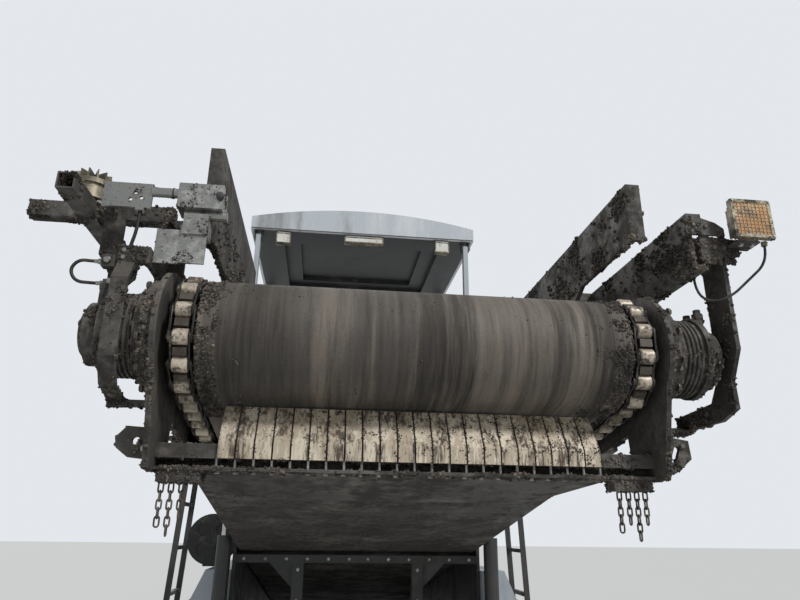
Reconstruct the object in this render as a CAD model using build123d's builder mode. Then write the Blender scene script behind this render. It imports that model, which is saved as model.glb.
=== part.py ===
from build123d import *
import math
import os

os.makedirs("parts", exist_ok=True)

# Material transfer vehicle: a tracked feeder with a hopper in front and one straight inclined belt
# that discharges over the head drum at the back. Millimetres. X points right, Y forward to the
# hopper, Z up; the ground is at Z = 0 and the origin is under the middle of the machine.

# Conveyor line, from the head shaft at the back to the tail shaft in the hopper
HEAD_Y = -4225.0
HEAD_Z = 2017.0
TAIL_Y = 3075.0
TAIL_Z = 730.0
RUN_LENGTH = math.hypot(TAIL_Y - HEAD_Y, HEAD_Z - TAIL_Z)
RUN_COS = (TAIL_Y - HEAD_Y) / RUN_LENGTH
RUN_SIN = (HEAD_Z - TAIL_Z) / RUN_LENGTH

# Roller chain and belt
CHAIN_PITCH = 76.0
HEAD_TEETH = 13
TAIL_TEETH = 11
HEAD_PITCH_R = CHAIN_PITCH / 2 / math.sin(math.pi / HEAD_TEETH)
TAIL_PITCH_R = CHAIN_PITCH / 2 / math.sin(math.pi / TAIL_TEETH)
CHAIN_X = 655.0
ROLLER_R = 23.0
ROLLER_W = 42.0
ROLLER_SIDES = 12
LINK_T = 6.0
LINK_H = 34.0
LINK_CORNER = 11.0
BAND_HALF = 16.0
CHAIN_PHASE = 3.2
WRAPPED_PINS = 7
RUN_PINS = 3
SEAT_GAP = 0.3
TOOTH_SEAT = ROLLER_R + SEAT_GAP
TOOTH_TIP = 9.0
TOOTH_HALF_GAP = 30.0
SPROCKET_W = 36.0
BELT_HALF = 615.0
BELT_T = 20.0
BELT_OVER_PITCH = 11.2
HEAD_BELT_R = HEAD_PITCH_R + BELT_OVER_PITCH
TAIL_BELT_R = TAIL_PITCH_R + BELT_OVER_PITCH
DRUM_HALF = 590.0
HEAD_SHAFT_R = 50.0
TAIL_SHAFT_R = 40.0

# Conveyor frame
SIDE_IN = 715.0
SIDE_T = 15.0
SIDE_OUT = SIDE_IN + SIDE_T
FRAME_TOP = 205.0
FRAME_LOW = -200.0
FLOOR_START = 420.0
FLOOR_T = 6.0
FLANGE_W = 22.0
FLANGE_START = 330.0
FLANGE_T = 10.0
FRAME_NOSE_R = 190.0
CHEEK_OUT = 765.0
CHEEK_R = 165.0
CROSS_TUBE_HALF = 40.0
CROSS_TUBES = 6
CROSS_TUBE_FIRST = 700.0
CROSS_TUBE_TO_TAIL = 512.0
BED_T = 6.0
BED_TOP = 130.0
PIVOT_PIN_R = 45.0
PIN_FIT = 0.05

# Drive at each end of the head shaft: distance from the centreline and radius of each step
DRIVE_STEPS = ((CHEEK_OUT, 140.0), (790.0, 118.0), (872.0, 128.0), (890.0, 92.0), (938.0, 66.0), (955.0, 0.0))
PORT_X = 914.0
PORT_R = 15.0
PORT_TOP = 128.0
PORT_PLACES = (-30.0, 30.0)

# Discharge side plates, from the head axis
GUIDE_X = 632.0
GUIDE_T = 16.0
GUIDE_NEAR = {-1: 20.0, 1: -200.0}
GUIDE_FAR = 1100.0
GUIDE_TOP = {-1: 660.0, 1: 503.0}
GUIDE_LOW = 313.0
GUIDE_LIP = 45.0
GUIDE_LAP = 400.0
RIB_T = 8.0

# Scraper under the head: outlines from the head axis as (y, z)
FINGER_COUNT = 22
FINGER_PITCH = 50.0
FINGER_W = 45.0
FINGER_OUTLINE = ((-27, -341), (-27, -296), (36, -188), (47, -194), (-15, -301), (-15, -341))
BEAM_OUTLINE = ((-15, -302), (-15, -341), (45, -341), (45, -365), (-18, -365), (-18, -373),
                (60, -373), (60, -302))
PAN_OUTLINE = ((60, -373), (330, -433), (330, -427), (60, -366))
PAN_REAR_HALF = 600.0
PAN_FRONT_HALF = 430.0
HANGER_X = (590.0, 706.0)
HANGER_H = 32.0

# Lift cylinders between the rear wall ends and the conveyor frame
LIFT_X = 830.0
LIFT_Y = -1815.0
LIFT_LOW = 1000.0
LIFT_HIGH = 1750.0
EYE_R = 32.0
BARREL_R = 45.0
ROD_R = 22.0
EYE_W = 40.0
EAR_GAP = 5.0
EAR_T = 12.0

# Chassis
WALL_IN = 770.0
WALL_T = 20.0
WALL_OUT = WALL_IN + WALL_T
REAR_Y = -1675.0
DECK_LOW = 2000.0
DECK_T = 50.0
DECK_TOP = DECK_LOW + DECK_T
DECK_REAR = -1125.0
DECK_FRONT = 525.0
DECK_HALF = 1200.0
HOUSE_LOW = 1600.0
HOUSE_TOP = 2700.0
HOUSE_FRONT = 1525.0
HOUSE_HALF = 950.0
HOUSE_T = 8.0
HOPPER_REAR = 1575.0
HOPPER_FRONT = 3905.0
EYE_PLATE_T = 20.0
LASHING_R = 25.0

# Roof posts: pins, ears and places
POST_X = 905.0
POST_REAR = -960.0
POST_FRONT = 480.0
POST_T = 40.0
POST_EAR = 14.0
EAR_SIDE = 0.5
PIN_R = 12.0

# Push beam on its fork: places ahead of the hopper's front and heights
FORK_HALF = 80.0
FORK_LOW = 420.0
FORK_HIGH = 600.0
FORK_T = 15.0
FORK_REACH = 265.0
BEAM_PIN_REACH = 215.0
BEAM_PIN_R = 40.0
PUSH_REACH = 450.0
PUSH_Z = 517.0
PUSH_R = 100.0

# Crawler tracks
TRACK_X = 1090.0
TRACK_W = 320.0
TRACK_IN = TRACK_X - TRACK_W / 2
TRACK_OUT = TRACK_X + TRACK_W / 2
TRACK_REAR = -875.0
TRACK_FRONT = 1625.0
WHEEL_R = 285.0
LINK_BAND = 30.0
PAD_T = 35.0
PAD_LENGTH = 128.0
PAD_TAPER = 6.0
SHOE_COUNT = 45
TRACK_Z = WHEEL_R + LINK_BAND + PAD_T
TRACK_BEAM_NEAR = 1000.0
TRACK_BEAM_FAR = 1180.0

SIDES = (("left", -1), ("right", 1))


def across(side, near, far):
    """Low and high X on one side, from two distances to the centreline."""
    return (near, far) if side > 0 else (-far, -near)


def block(x, y, z, mode=Mode.ADD):
    """A box between its low and high value on each axis."""
    with Locations(((x[0] + x[1]) / 2, (y[0] + y[1]) / 2, (z[0] + z[1]) / 2)):
        Box(x[1] - x[0], y[1] - y[0], z[1] - z[0], mode=mode)


def side_profile(outline, x, mode=Mode.ADD):
    """An outline of (y, z) corners carried across from x[0] to x[1]."""
    with BuildSketch(Plane.YZ.offset(x[0])) as profile:
        with BuildLine():
            Polyline(*outline, close=True)
        make_face()
    extrude(profile.sketch, amount=x[1] - x[0], dir=(1, 0, 0), mode=mode)


def rear_profile(outline, y, mode=Mode.ADD):
    """An outline of (x, z) corners carried forward from y[0] to y[1]."""
    with BuildSketch(Plane.XZ.offset(-y[0])) as profile:
        with BuildLine():
            Polyline(*outline, close=True)
        make_face()
    extrude(profile.sketch, amount=y[1] - y[0], dir=(0, 1, 0), mode=mode)


def bar(start, end, radius, mode=Mode.ADD, sides=0):
    """A round bar between two points, or a faceted one where it repeats."""
    run = Vector(*end) - Vector(*start)
    with BuildSketch(Plane(origin=start, z_dir=run)) as section:
        if sides:
            RegularPolygon(radius, sides)
        else:
            Circle(radius)
    extrude(section.sketch, amount=run.length, mode=mode)


def wheel(x, y, z, radius, mode=Mode.ADD, sides=0):
    """A cylinder along X between x[0] and x[1]."""
    bar((x[0], y, z), (x[1], y, z), radius, mode, sides)


def from_head(outline):
    """Corners given from the head axis, in machine coordinates."""
    return [(HEAD_Y + y, HEAD_Z + z) for y, z in outline]


def on_run(along, above):
    """Machine (y, z) of a point down the conveyor from the head axis and square above its line."""
    return (HEAD_Y + along * RUN_COS + above * RUN_SIN, HEAD_Z - along * RUN_SIN + above * RUN_COS)


def run_plane(x):
    """Plane across X whose own x runs down the conveyor and whose y points square above it."""
    return Plane(origin=(x, HEAD_Y, HEAD_Z), x_dir=(0, RUN_COS, -RUN_SIN), z_dir=(1, 0, 0))


def loop_face(head_r, tail_r, mode=Mode.ADD):
    """The outline of a belt or chain round both shafts, in the sketch that is open."""
    lean = (head_r - tail_r) / RUN_LENGTH
    rise = math.sqrt(1 - lean**2)
    head_point = (head_r * lean, head_r * rise)
    tail_point = (RUN_LENGTH + tail_r * lean, tail_r * rise)
    with BuildLine() as edge:
        Line(head_point, tail_point)
        ThreePointArc(tail_point, (RUN_LENGTH + tail_r, 0), (tail_point[0], -tail_point[1]))
        Line((tail_point[0], -tail_point[1]), (head_point[0], -head_point[1]))
        ThreePointArc((head_point[0], -head_point[1]), (-head_r, 0), head_point)
    make_face(edge.line.edges(), mode=mode)


def chain_pins():
    """Pin centres (along, above) from the upper run round the head sprocket to the lower run."""
    step = 360 / HEAD_TEETH
    angles = [math.radians(CHAIN_PHASE + step * turn) for turn in range(WRAPPED_PINS)]
    wrapped = [(-HEAD_PITCH_R * math.sin(a), HEAD_PITCH_R * math.cos(a)) for a in angles]
    upper = [(wrapped[0][0] + CHAIN_PITCH * place, HEAD_PITCH_R) for place in range(RUN_PINS, 0, -1)]
    lower = [(wrapped[-1][0] + CHAIN_PITCH * place, -HEAD_PITCH_R) for place in range(1, RUN_PINS + 1)]
    return upper + wrapped + lower


def tooth_outline():
    """Corners round the head sprocket: six to a tooth gap, clear of the roller that sits in it."""
    half_flat = TOOTH_SEAT * math.tan(math.pi / 8)
    gap = ((-TOOTH_HALF_GAP, TOOTH_TIP), (-TOOTH_SEAT, -half_flat), (-half_flat, -TOOTH_SEAT),
           (half_flat, -TOOTH_SEAT), (TOOTH_SEAT, -half_flat), (TOOTH_HALF_GAP, TOOTH_TIP))
    corners = []
    for tooth in range(HEAD_TEETH):
        turn = math.radians(360 / HEAD_TEETH * tooth - CHAIN_PHASE)
        for along, out in gap:
            reach = HEAD_PITCH_R + out
            corners.append((along * math.cos(turn) + reach * math.sin(turn),
                            reach * math.cos(turn) - along * math.sin(turn)))
    return corners


def finish(piece, label):
    """Name a finished piece and write it."""
    piece.part.label = label
    export_step(piece.part, f"parts/{label}.step")


# Conveyor frame: side plates with flanges, nose cheeks, cross tubes, slider bed and pivot pins
with BuildPart() as conveyor_frame:
    for name, side in SIDES:
        plate = across(side, SIDE_IN, SIDE_OUT)
        outline = [on_run(0, FRAME_TOP), on_run(RUN_LENGTH + 120, FRAME_TOP),
                   on_run(RUN_LENGTH + 190, 90), on_run(RUN_LENGTH + 190, -90),
                   on_run(RUN_LENGTH + 110, FRAME_LOW), on_run(0, FRAME_LOW)]
        side_profile(outline, plate)
        wheel(plate, HEAD_Y, HEAD_Z, FRAME_NOSE_R)
        side_profile(from_head(((-75, -373), (-150, -110), (150, -110), (110, -373))), plate)
        flange = across(side, SIDE_OUT, SIDE_OUT + FLANGE_W)
        for level in (FRAME_TOP - FLANGE_T, FRAME_LOW):
            strip = [on_run(FLANGE_START, level), on_run(RUN_LENGTH + 100, level),
                     on_run(RUN_LENGTH + 100, level + FLANGE_T), on_run(FLANGE_START, level + FLANGE_T)]
            side_profile(strip, flange)
        wheel(across(side, SIDE_OUT, CHEEK_OUT), HEAD_Y, HEAD_Z, CHEEK_R)
        wheel(across(side, SIDE_OUT, WALL_OUT - SEAT_GAP), TAIL_Y, TAIL_Z, PIVOT_PIN_R)
        ears = (LIFT_Y - 60, LIFT_Y + 60)
        outer_ear = LIFT_X + EYE_W / 2 + EAR_GAP
        block(across(side, SIDE_OUT, LIFT_X - EYE_W / 2 - EAR_GAP), ears, (LIFT_HIGH - 80, LIFT_HIGH + 80))
        block(across(side, outer_ear, outer_ear + EAR_T), ears, (LIFT_HIGH - 80, LIFT_HIGH + 80))
        block(across(side, SIDE_OUT, outer_ear + EAR_T), ears, (LIFT_HIGH + 60, LIFT_HIGH + 80))
    tube_step = (RUN_LENGTH - CROSS_TUBE_FIRST - CROSS_TUBE_TO_TAIL) / (CROSS_TUBES - 1)
    for place in range(CROSS_TUBES):
        along = CROSS_TUBE_FIRST + tube_step * place
        tube = [on_run(along + x * CROSS_TUBE_HALF, z * CROSS_TUBE_HALF)
                for x, z in ((-1, -1), (1, -1), (1, 1), (-1, 1))]
        side_profile(tube, (-SIDE_IN, SIDE_IN))
    floor = [on_run(FLOOR_START, FRAME_LOW), on_run(RUN_LENGTH - 260, FRAME_LOW),
             on_run(RUN_LENGTH - 260, FRAME_LOW + FLOOR_T), on_run(FLOOR_START, FRAME_LOW + FLOOR_T)]
    side_profile(floor, (-SIDE_IN, SIDE_IN))
    bed = [on_run(280, BED_TOP - BED_T), on_run(RUN_LENGTH - 260, BED_TOP - 25 - BED_T),
           on_run(RUN_LENGTH - 260, BED_TOP - 25), on_run(280, BED_TOP)]
    side_profile(bed, (-SIDE_IN, SIDE_IN))
    wheel((-CHEEK_OUT, CHEEK_OUT), HEAD_Y, HEAD_Z, HEAD_SHAFT_R + SEAT_GAP, Mode.SUBTRACT)
finish(conveyor_frame, "conveyor_frame")

# Belt: one closed loop
with BuildPart() as conveyor_belt:
    with BuildSketch(run_plane(-BELT_HALF)) as belt_section:
        loop_face(HEAD_BELT_R, TAIL_BELT_R)
        loop_face(HEAD_BELT_R - BELT_T, TAIL_BELT_R - BELT_T, Mode.SUBTRACT)
    extrude(amount=2 * BELT_HALF)
finish(conveyor_belt, "conveyor_belt")

# Roller chain at each belt edge: links and rollers at the head, a plain band down the housing
with BuildPart() as conveyor_chains:
    pins = chain_pins()
    links = list(zip(pins, pins[1:]))
    reach = (CHAIN_PITCH + LINK_H) / 2
    plate_outline = [(x * (reach - cut * LINK_CORNER), z * (LINK_H / 2 - (1 - cut) * LINK_CORNER))
                     for x, z, cut in ((-1, 1, 0), (-1, 1, 1), (1, 1, 1), (1, 1, 0),
                                       (1, -1, 0), (1, -1, 1), (-1, -1, 1), (-1, -1, 0))]
    for parity, inner in ((0, ROLLER_W / 2), (1, ROLLER_W / 2 + LINK_T)):
        for start in (CHAIN_X - inner - LINK_T, CHAIN_X + inner):
            with BuildSketch(run_plane(start)):
                for near, far in links[parity::2]:
                    turn = math.degrees(math.atan2(far[1] - near[1], far[0] - near[0]))
                    middle = ((near[0] + far[0]) / 2, (near[1] + far[1]) / 2)
                    with Locations(Location(middle, turn)):
                        Polygon(*plate_outline, align=None)
            extrude(amount=LINK_T)
    with BuildSketch(run_plane(CHAIN_X - ROLLER_W / 2)):
        with Locations(*pins):
            RegularPolygon(ROLLER_R, ROLLER_SIDES)
    extrude(amount=ROLLER_W)
    with BuildSketch(run_plane(CHAIN_X - ROLLER_W / 2)):
        loop_face(HEAD_PITCH_R + BAND_HALF, TAIL_PITCH_R + BAND_HALF)
        loop_face(HEAD_PITCH_R - BAND_HALF, TAIL_PITCH_R - BAND_HALF, Mode.SUBTRACT)
        for end, level in ((pins[0][0], 1), (pins[-1][0], -1)):
            with Locations((end - RUN_LENGTH / 2, level * HEAD_PITCH_R)):
                Rectangle(RUN_LENGTH, 2 * HEAD_PITCH_R, mode=Mode.SUBTRACT)
    extrude(amount=ROLLER_W)
    mirror(about=Plane.YZ)
finish(conveyor_chains, "conveyor_chains")

# Shafts: head drum with its toothed sprockets, tail drum with plain idler wheels
with BuildPart() as conveyor_shafts:
    wheel((-CHEEK_OUT + SEAT_GAP, CHEEK_OUT - SEAT_GAP), HEAD_Y, HEAD_Z, HEAD_SHAFT_R)
    wheel((-DRUM_HALF, DRUM_HALF), HEAD_Y, HEAD_Z, HEAD_BELT_R - BELT_T - SEAT_GAP)
    for name, side in SIDES:
        with BuildSketch(run_plane(side * CHAIN_X - SPROCKET_W / 2)):
            Polygon(*tooth_outline(), align=None)
        extrude(amount=SPROCKET_W)
        wheel(across(side, CHAIN_X - SPROCKET_W / 2, CHAIN_X + SPROCKET_W / 2), TAIL_Y, TAIL_Z,
              TAIL_PITCH_R - BAND_HALF - SEAT_GAP)
    wheel((-SIDE_IN + SEAT_GAP, SIDE_IN - SEAT_GAP), TAIL_Y, TAIL_Z, TAIL_SHAFT_R)
    wheel((-DRUM_HALF, DRUM_HALF), TAIL_Y, TAIL_Z, TAIL_BELT_R - BELT_T - SEAT_GAP)
finish(conveyor_shafts, "conveyor_shafts")

# Drive gearbox and motor at each end of the head shaft, with the motor's hose ports
with BuildPart() as drive_motors:
    for name, side in SIDES:
        for (near, radius), (far, _) in zip(DRIVE_STEPS, DRIVE_STEPS[1:]):
            wheel(across(side, near, far), HEAD_Y, HEAD_Z, radius)
        for place in PORT_PLACES:
            port = (side * PORT_X, HEAD_Y + place)
            bar((*port, HEAD_Z), (*port, HEAD_Z + PORT_TOP), PORT_R, sides=8)
finish(drive_motors, "drive_motors")

# Discharge side plates with a lip at the near end, a top flange, ribs and a foot on the frame
with BuildPart() as side_guides:
    for name, side in SIDES:
        near = GUIDE_NEAR[side]
        top = GUIDE_TOP[side]
        y_foot, z_foot = on_run(560, FRAME_TOP)
        y_end, z_end = on_run(GUIDE_FAR, FRAME_TOP)
        outline = from_head(((near + GUIDE_LAP, GUIDE_LOW), (near, GUIDE_LOW), (near, top)))
        outline += [(y_end, HEAD_Z + top), (y_end, z_end), (y_foot, z_foot)]
        side_profile(outline, across(side, GUIDE_X, GUIDE_X + GUIDE_T))
        foot = [on_run(560, FRAME_TOP), on_run(GUIDE_FAR, FRAME_TOP), on_run(GUIDE_FAR, FRAME_TOP + 12),
                on_run(560, FRAME_TOP + 12)]
        side_profile(foot, across(side, GUIDE_X + GUIDE_T, SIDE_OUT))
        lip = across(side, GUIDE_X + GUIDE_T, GUIDE_X + GUIDE_LIP)
        block(lip, (HEAD_Y + near, HEAD_Y + near + GUIDE_T), (HEAD_Z + GUIDE_LOW, HEAD_Z + top))
        block(lip, (HEAD_Y + near, y_end), (HEAD_Z + top - RIB_T, HEAD_Z + top))
        for along in (640, 860, 1080):
            y, z = on_run(along, FRAME_TOP + 12)
            block(lip, (y, y + RIB_T), (z - 4, HEAD_Z + top))
finish(side_guides, "side_guides")

# Scraper: beam with its slot, hangers at its ends and the sloping pan, and a row of separate fingers
with BuildPart() as scraper_beam:
    side_profile(from_head(BEAM_OUTLINE), (-SIDE_IN + SEAT_GAP, SIDE_IN - SEAT_GAP))
    pan_low = from_head(PAN_OUTLINE)
    side_profile(pan_low, (-PAN_REAR_HALF, PAN_REAR_HALF))
    pan_rear, beam_low = PAN_OUTLINE[0]
    pan_front = PAN_OUTLINE[1][0]
    for name, side in SIDES:
        corner = [(side * PAN_REAR_HALF, HEAD_Y + pan_rear), (side * PAN_REAR_HALF, HEAD_Y + pan_front),
                  (side * PAN_FRONT_HALF, HEAD_Y + pan_front)]
        with BuildSketch(Plane.XY.offset(HEAD_Z - 500)) as trim:
            with BuildLine():
                Polyline(*corner, close=True)
            make_face()
        extrude(trim.sketch, amount=200, dir=(0, 0, 1), mode=Mode.SUBTRACT)
        block(across(side, *HANGER_X), (HEAD_Y - 12, HEAD_Y + 52),
              (HEAD_Z + beam_low - HANGER_H, HEAD_Z + beam_low))
finish(scraper_beam, "scraper_beam")

with BuildPart() as scraper_fingers:
    for place in range(FINGER_COUNT):
        middle = (place - (FINGER_COUNT - 1) / 2) * FINGER_PITCH
        side_profile(from_head(FINGER_OUTLINE), (middle - FINGER_W / 2, middle + FINGER_W / 2))
finish(scraper_fingers, "scraper_fingers")

# Right arm: channel along the conveyor with its end plates, lamp bracket, guard plate and lower bracket
ARM_T = 12.0
ARM_Y = (HEAD_Y - 150, HEAD_Y + 750)
ARM_Z = (HEAD_Z + 253, HEAD_Z + 443)
ARM_RIGHT_X = 850.0
ARM_FLANGE_X = 900.0
GUARD_X = (975.0, 989.0)
GUARD_OUTLINE = ((90, 461), (50, 461), (-60, 382), (-92, 358), (-151, 345), (-151, 302), (-112, 292),
                 (-112, 11), (-60, -75), (-63, -163), (20, -190), (280, -190), (280, -140), (60, -126),
                 (20, -70), (0, 12), (0, 290), (28, 330), (90, 352))
GUARD_FOOT_Y = (HEAD_Y + 200, HEAD_Y + 280)
END_OUTLINE = ((836, 363), (836, 415), (870, 427), (935, 407), (962, 388), (962, 363))
TOOTH_COUNT = 5
TOOTH_PITCH = 22.0
TOOTHED_OUTLINE = ((880, 363), (1008, 354), (1008, 300), (880, 284))
LAMP_X = (955.0, 1085.0)
LAMP_SEAT = HEAD_Z + 328
LOW_RIGHT_OUTLINE = ((SIDE_OUT, -246), (776, -246), (838, -256), (842, -310), (800, -344), (740, -370),
                     (SIDE_OUT, -370))
LOW_LEFT_OUTLINE = ((-SIDE_OUT, -262), (-800, -258), (-828, -290), (-822, -318), (-790, -342), (-SIDE_OUT, -348))
GLAND_R = 9.0
with BuildPart() as arm_right:
    block((ARM_RIGHT_X, ARM_RIGHT_X + ARM_T), ARM_Y, ARM_Z)
    for low in (ARM_Z[0], ARM_Z[1] - ARM_T):
        block((ARM_RIGHT_X + ARM_T, ARM_FLANGE_X), ARM_Y, (low, low + ARM_T))
    block((SIDE_OUT, ARM_RIGHT_X), (HEAD_Y + 600, HEAD_Y + 615), (HEAD_Z + 106, ARM_Z[1]))
    side_profile(from_head(GUARD_OUTLINE), GUARD_X)
    block((ARM_FLANGE_X, GUARD_X[1]), (HEAD_Y + 30, HEAD_Y + 90), (ARM_Z[1] - ARM_T, ARM_Z[1]))
    block((SIDE_OUT, GUARD_X[1]), GUARD_FOOT_Y, (HEAD_Z - 190 - ARM_T, HEAD_Z - 190))
    rear_profile([(x, HEAD_Z + z) for x, z in END_OUTLINE], (HEAD_Y - 166, HEAD_Y - 158))
    rear_profile([(x, HEAD_Z + z) for x, z in TOOTHED_OUTLINE], (HEAD_Y - 158, HEAD_Y - 150))
    for tooth in range(TOOTH_COUNT):
        x = 890 + TOOTH_PITCH * tooth
        block((x, x + TOOTH_PITCH / 2), (HEAD_Y - 158, HEAD_Y - 150), (HEAD_Z + 270, HEAD_Z + 310))
    block((965, 1040), (HEAD_Y - 215, HEAD_Y - 150), (LAMP_SEAT - 6, LAMP_SEAT))
    bar((875, HEAD_Y - 105, ARM_Z[0] - ARM_T), (875, HEAD_Y - 105, ARM_Z[0]), GLAND_R, sides=8)
    rear_profile([(x, HEAD_Z + z) for x, z in LOW_RIGHT_OUTLINE], (HEAD_Y - 8, HEAD_Y + 8))
    with BuildSketch(Plane.XZ.offset(-HEAD_Y + 8)) as slot:
        with Locations((792, HEAD_Z - 298)):
            SlotOverall(52, 18, rotation=68)
    extrude(slot.sketch, amount=16, dir=(0, 1, 0), mode=Mode.SUBTRACT)
finish(arm_right, "arm_right")

# Square work lamp on the arm's bracket: rim round a sunk lens, body with cooling fins, foot and gland
RIM_W = 10.0
LENS_DEPTH = 8.0
with BuildPart() as work_lamp:
    low, high = LAMP_SEAT + 6, LAMP_SEAT + 134
    block(LAMP_X, (HEAD_Y - 230, HEAD_Y - 208), (low, high))
    block((LAMP_X[0] + RIM_W, LAMP_X[1] - RIM_W), (HEAD_Y - 230, HEAD_Y - 230 + LENS_DEPTH),
          (low + RIM_W, high - RIM_W), Mode.SUBTRACT)
    block((LAMP_X[0] + 12, LAMP_X[1] - 12), (HEAD_Y - 208, HEAD_Y - 188), (low + 12, high - 12))
    for fin in range(7):
        x = LAMP_X[0] + 18 + 15 * fin
        block((x, x + 4), (HEAD_Y - 188, HEAD_Y - 172), (low + 16, high - 16))
    block((LAMP_X[0] + 20, LAMP_X[0] + 80), (HEAD_Y - 214, HEAD_Y - 190), (LAMP_SEAT, low))
    bar((1065, HEAD_Y - 198, LAMP_SEAT - 8), (1065, HEAD_Y - 198, low), GLAND_R, sides=8)
finish(work_lamp, "work_lamp")

# Left bracket: post from the frame, cross tube, tube along the conveyor, fitting plate, strap, lower bracket
TUBE = 50.0
TUBE_WALL = 4.0
CROSS_TUBE_Z = HEAD_Z + 371
LONG_TUBE_X = -1035.0
LONG_TUBE_Z = HEAD_Z + 362
STRAP_X = (812.0, 858.0)
STRAP_PATH = ((-130, 228), (-130, 178), (-165, 122), (-165, -100), (-120, -168), (-20, -196))
FITTING_PLATE = ((-962, 371), (-962, 262), (-925, 190), (-925, 140), (-880, 140), (-845, 180), (-845, 240),
                 (-900, 300), (-900, 371))
FITTINGS = ((-940, 203, 239), (-879, 196, 232), (-925, 142, 162))
FITTING_W = 38.0
FITTING_DEPTH = 30.0
with BuildPart() as arm_left:
    block((-1190, -760), (HEAD_Y, HEAD_Y + TUBE), (CROSS_TUBE_Z, CROSS_TUBE_Z + TUBE))
    block((-1190, -1070), (HEAD_Y + TUBE_WALL, HEAD_Y + TUBE - TUBE_WALL),
          (CROSS_TUBE_Z + TUBE_WALL, CROSS_TUBE_Z + TUBE - TUBE_WALL), Mode.SUBTRACT)
    block((LONG_TUBE_X, LONG_TUBE_X + TUBE), (HEAD_Y - 200, HEAD_Y + 250), (LONG_TUBE_Z, LONG_TUBE_Z + TUBE))
    block((LONG_TUBE_X + TUBE_WALL, LONG_TUBE_X + TUBE - TUBE_WALL), (HEAD_Y - 200, HEAD_Y - 20),
          (LONG_TUBE_Z + TUBE_WALL, LONG_TUBE_Z + TUBE - TUBE_WALL), Mode.SUBTRACT)
    block((-790, -775), (HEAD_Y, HEAD_Y + 90), (HEAD_Z + 150, CROSS_TUBE_Z + TUBE))
    block((-790, -SIDE_OUT), (HEAD_Y + 90, HEAD_Y + 105), (HEAD_Z + 150, CROSS_TUBE_Z + TUBE))
    rear_profile([(-1000, CROSS_TUBE_Z + TUBE), (-925, CROSS_TUBE_Z + TUBE + 26), (-925, CROSS_TUBE_Z),
                  (-960, CROSS_TUBE_Z)], (HEAD_Y - 8, HEAD_Y))
    block((-941, -925), (HEAD_Y - 96, HEAD_Y), (CROSS_TUBE_Z, CROSS_TUBE_Z + TUBE))
    rear_profile([(x, HEAD_Z + z) for x, z in FITTING_PLATE], (HEAD_Y, HEAD_Y + 10))
    for x, low, high in FITTINGS:
        block((x, x + FITTING_W), (HEAD_Y - FITTING_DEPTH, HEAD_Y), (HEAD_Z + low, HEAD_Z + high))
    strap = from_head(STRAP_PATH) + from_head([(y + ARM_T, z) for y, z in reversed(STRAP_PATH)])
    side_profile(strap, across(-1, *STRAP_X))
    block((-858, -775), (HEAD_Y - 130, HEAD_Y - 118), (HEAD_Z + 178, HEAD_Z + 228))
    block((-787, -775), (HEAD_Y - 118, HEAD_Y), (HEAD_Z + 178, HEAD_Z + 228))
    block((-858, -SIDE_OUT), (HEAD_Y - 32, HEAD_Y - 8), (HEAD_Z - 208, HEAD_Z - 190))
    rear_profile([(x, HEAD_Z + z) for x, z in LOW_LEFT_OUTLINE], (HEAD_Y - 8, HEAD_Y + 8))
    with BuildSketch(Plane.XZ.offset(-HEAD_Y + 8)) as hole:
        with Locations((-772, HEAD_Z - 298)):
            Circle(11)
    extrude(hole.sketch, amount=16, dir=(0, 1, 0), mode=Mode.SUBTRACT)
finish(arm_left, "arm_left")

# Round lamp on the cross tube: silver body, rim and upright cooling fins round its top
LAMP_BODY_R = 46.0
LAMP_RIM_R = 54.0
LAMP_FINS = 12
with BuildPart() as round_lamp:
    stand = (-1025, HEAD_Y + TUBE / 2)
    foot = CROSS_TUBE_Z + TUBE
    bar((*stand, foot), (*stand, foot + 16), 20, sides=12)
    bar((*stand, foot + 16), (*stand, foot + 70), LAMP_BODY_R)
    bar((*stand, foot + 62), (*stand, foot + 78), LAMP_RIM_R)
    for fin in range(LAMP_FINS):
        with Locations(Location((*stand, foot + 92), (0, 0, 360 / LAMP_FINS * fin))):
            Box(2 * LAMP_RIM_R - 4, 4, 32)
finish(round_lamp, "round_lamp")

# Belt sensor at the left: holed plate, round sensor, its box and pipe, lower box with two plates, strut
SENSOR_Y = HEAD_Y - 104
SENSOR_HOLES = ((-850, 412), (-832, 396), (-862, 390))
with BuildPart() as sensor_unit:
    block((-941, -801), (SENSOR_Y, SENSOR_Y + 8), (HEAD_Z + 364, HEAD_Z + 443))
    for x, z in SENSOR_HOLES:
        bar((x, SENSOR_Y - 1, HEAD_Z + z), (x, SENSOR_Y + 9, HEAD_Z + z), 6, Mode.SUBTRACT, sides=8)
    block((-842, -818), (SENSOR_Y - 8, SENSOR_Y + 16), (HEAD_Z + 352, HEAD_Z + 366))
    wheel((-802, -713), SENSOR_Y + 4, HEAD_Z + 419, 15, sides=16)
    block((-722, -592), (HEAD_Y - 130, HEAD_Y - 50), (HEAD_Z + 362, HEAD_Z + 441))
    wheel((-702, -579), HEAD_Y - 96, HEAD_Z + 352, 15, sides=16)
    block((-698, -628), (HEAD_Y - 125, HEAD_Y - 60), (HEAD_Z + 279, HEAD_Z + 345))
    block((-773, -690), (SENSOR_Y, SENSOR_Y + 8), (HEAD_Z + 192, HEAD_Z + 299))
    block((-702, -628), (SENSOR_Y - 14, SENSOR_Y - 6), (HEAD_Z + 190, HEAD_Z + 299))
    block((-702, -690), (SENSOR_Y - 8, SENSOR_Y + 8), (HEAD_Z + 200, HEAD_Z + 299))
finish(sensor_unit, "sensor_unit")

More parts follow.
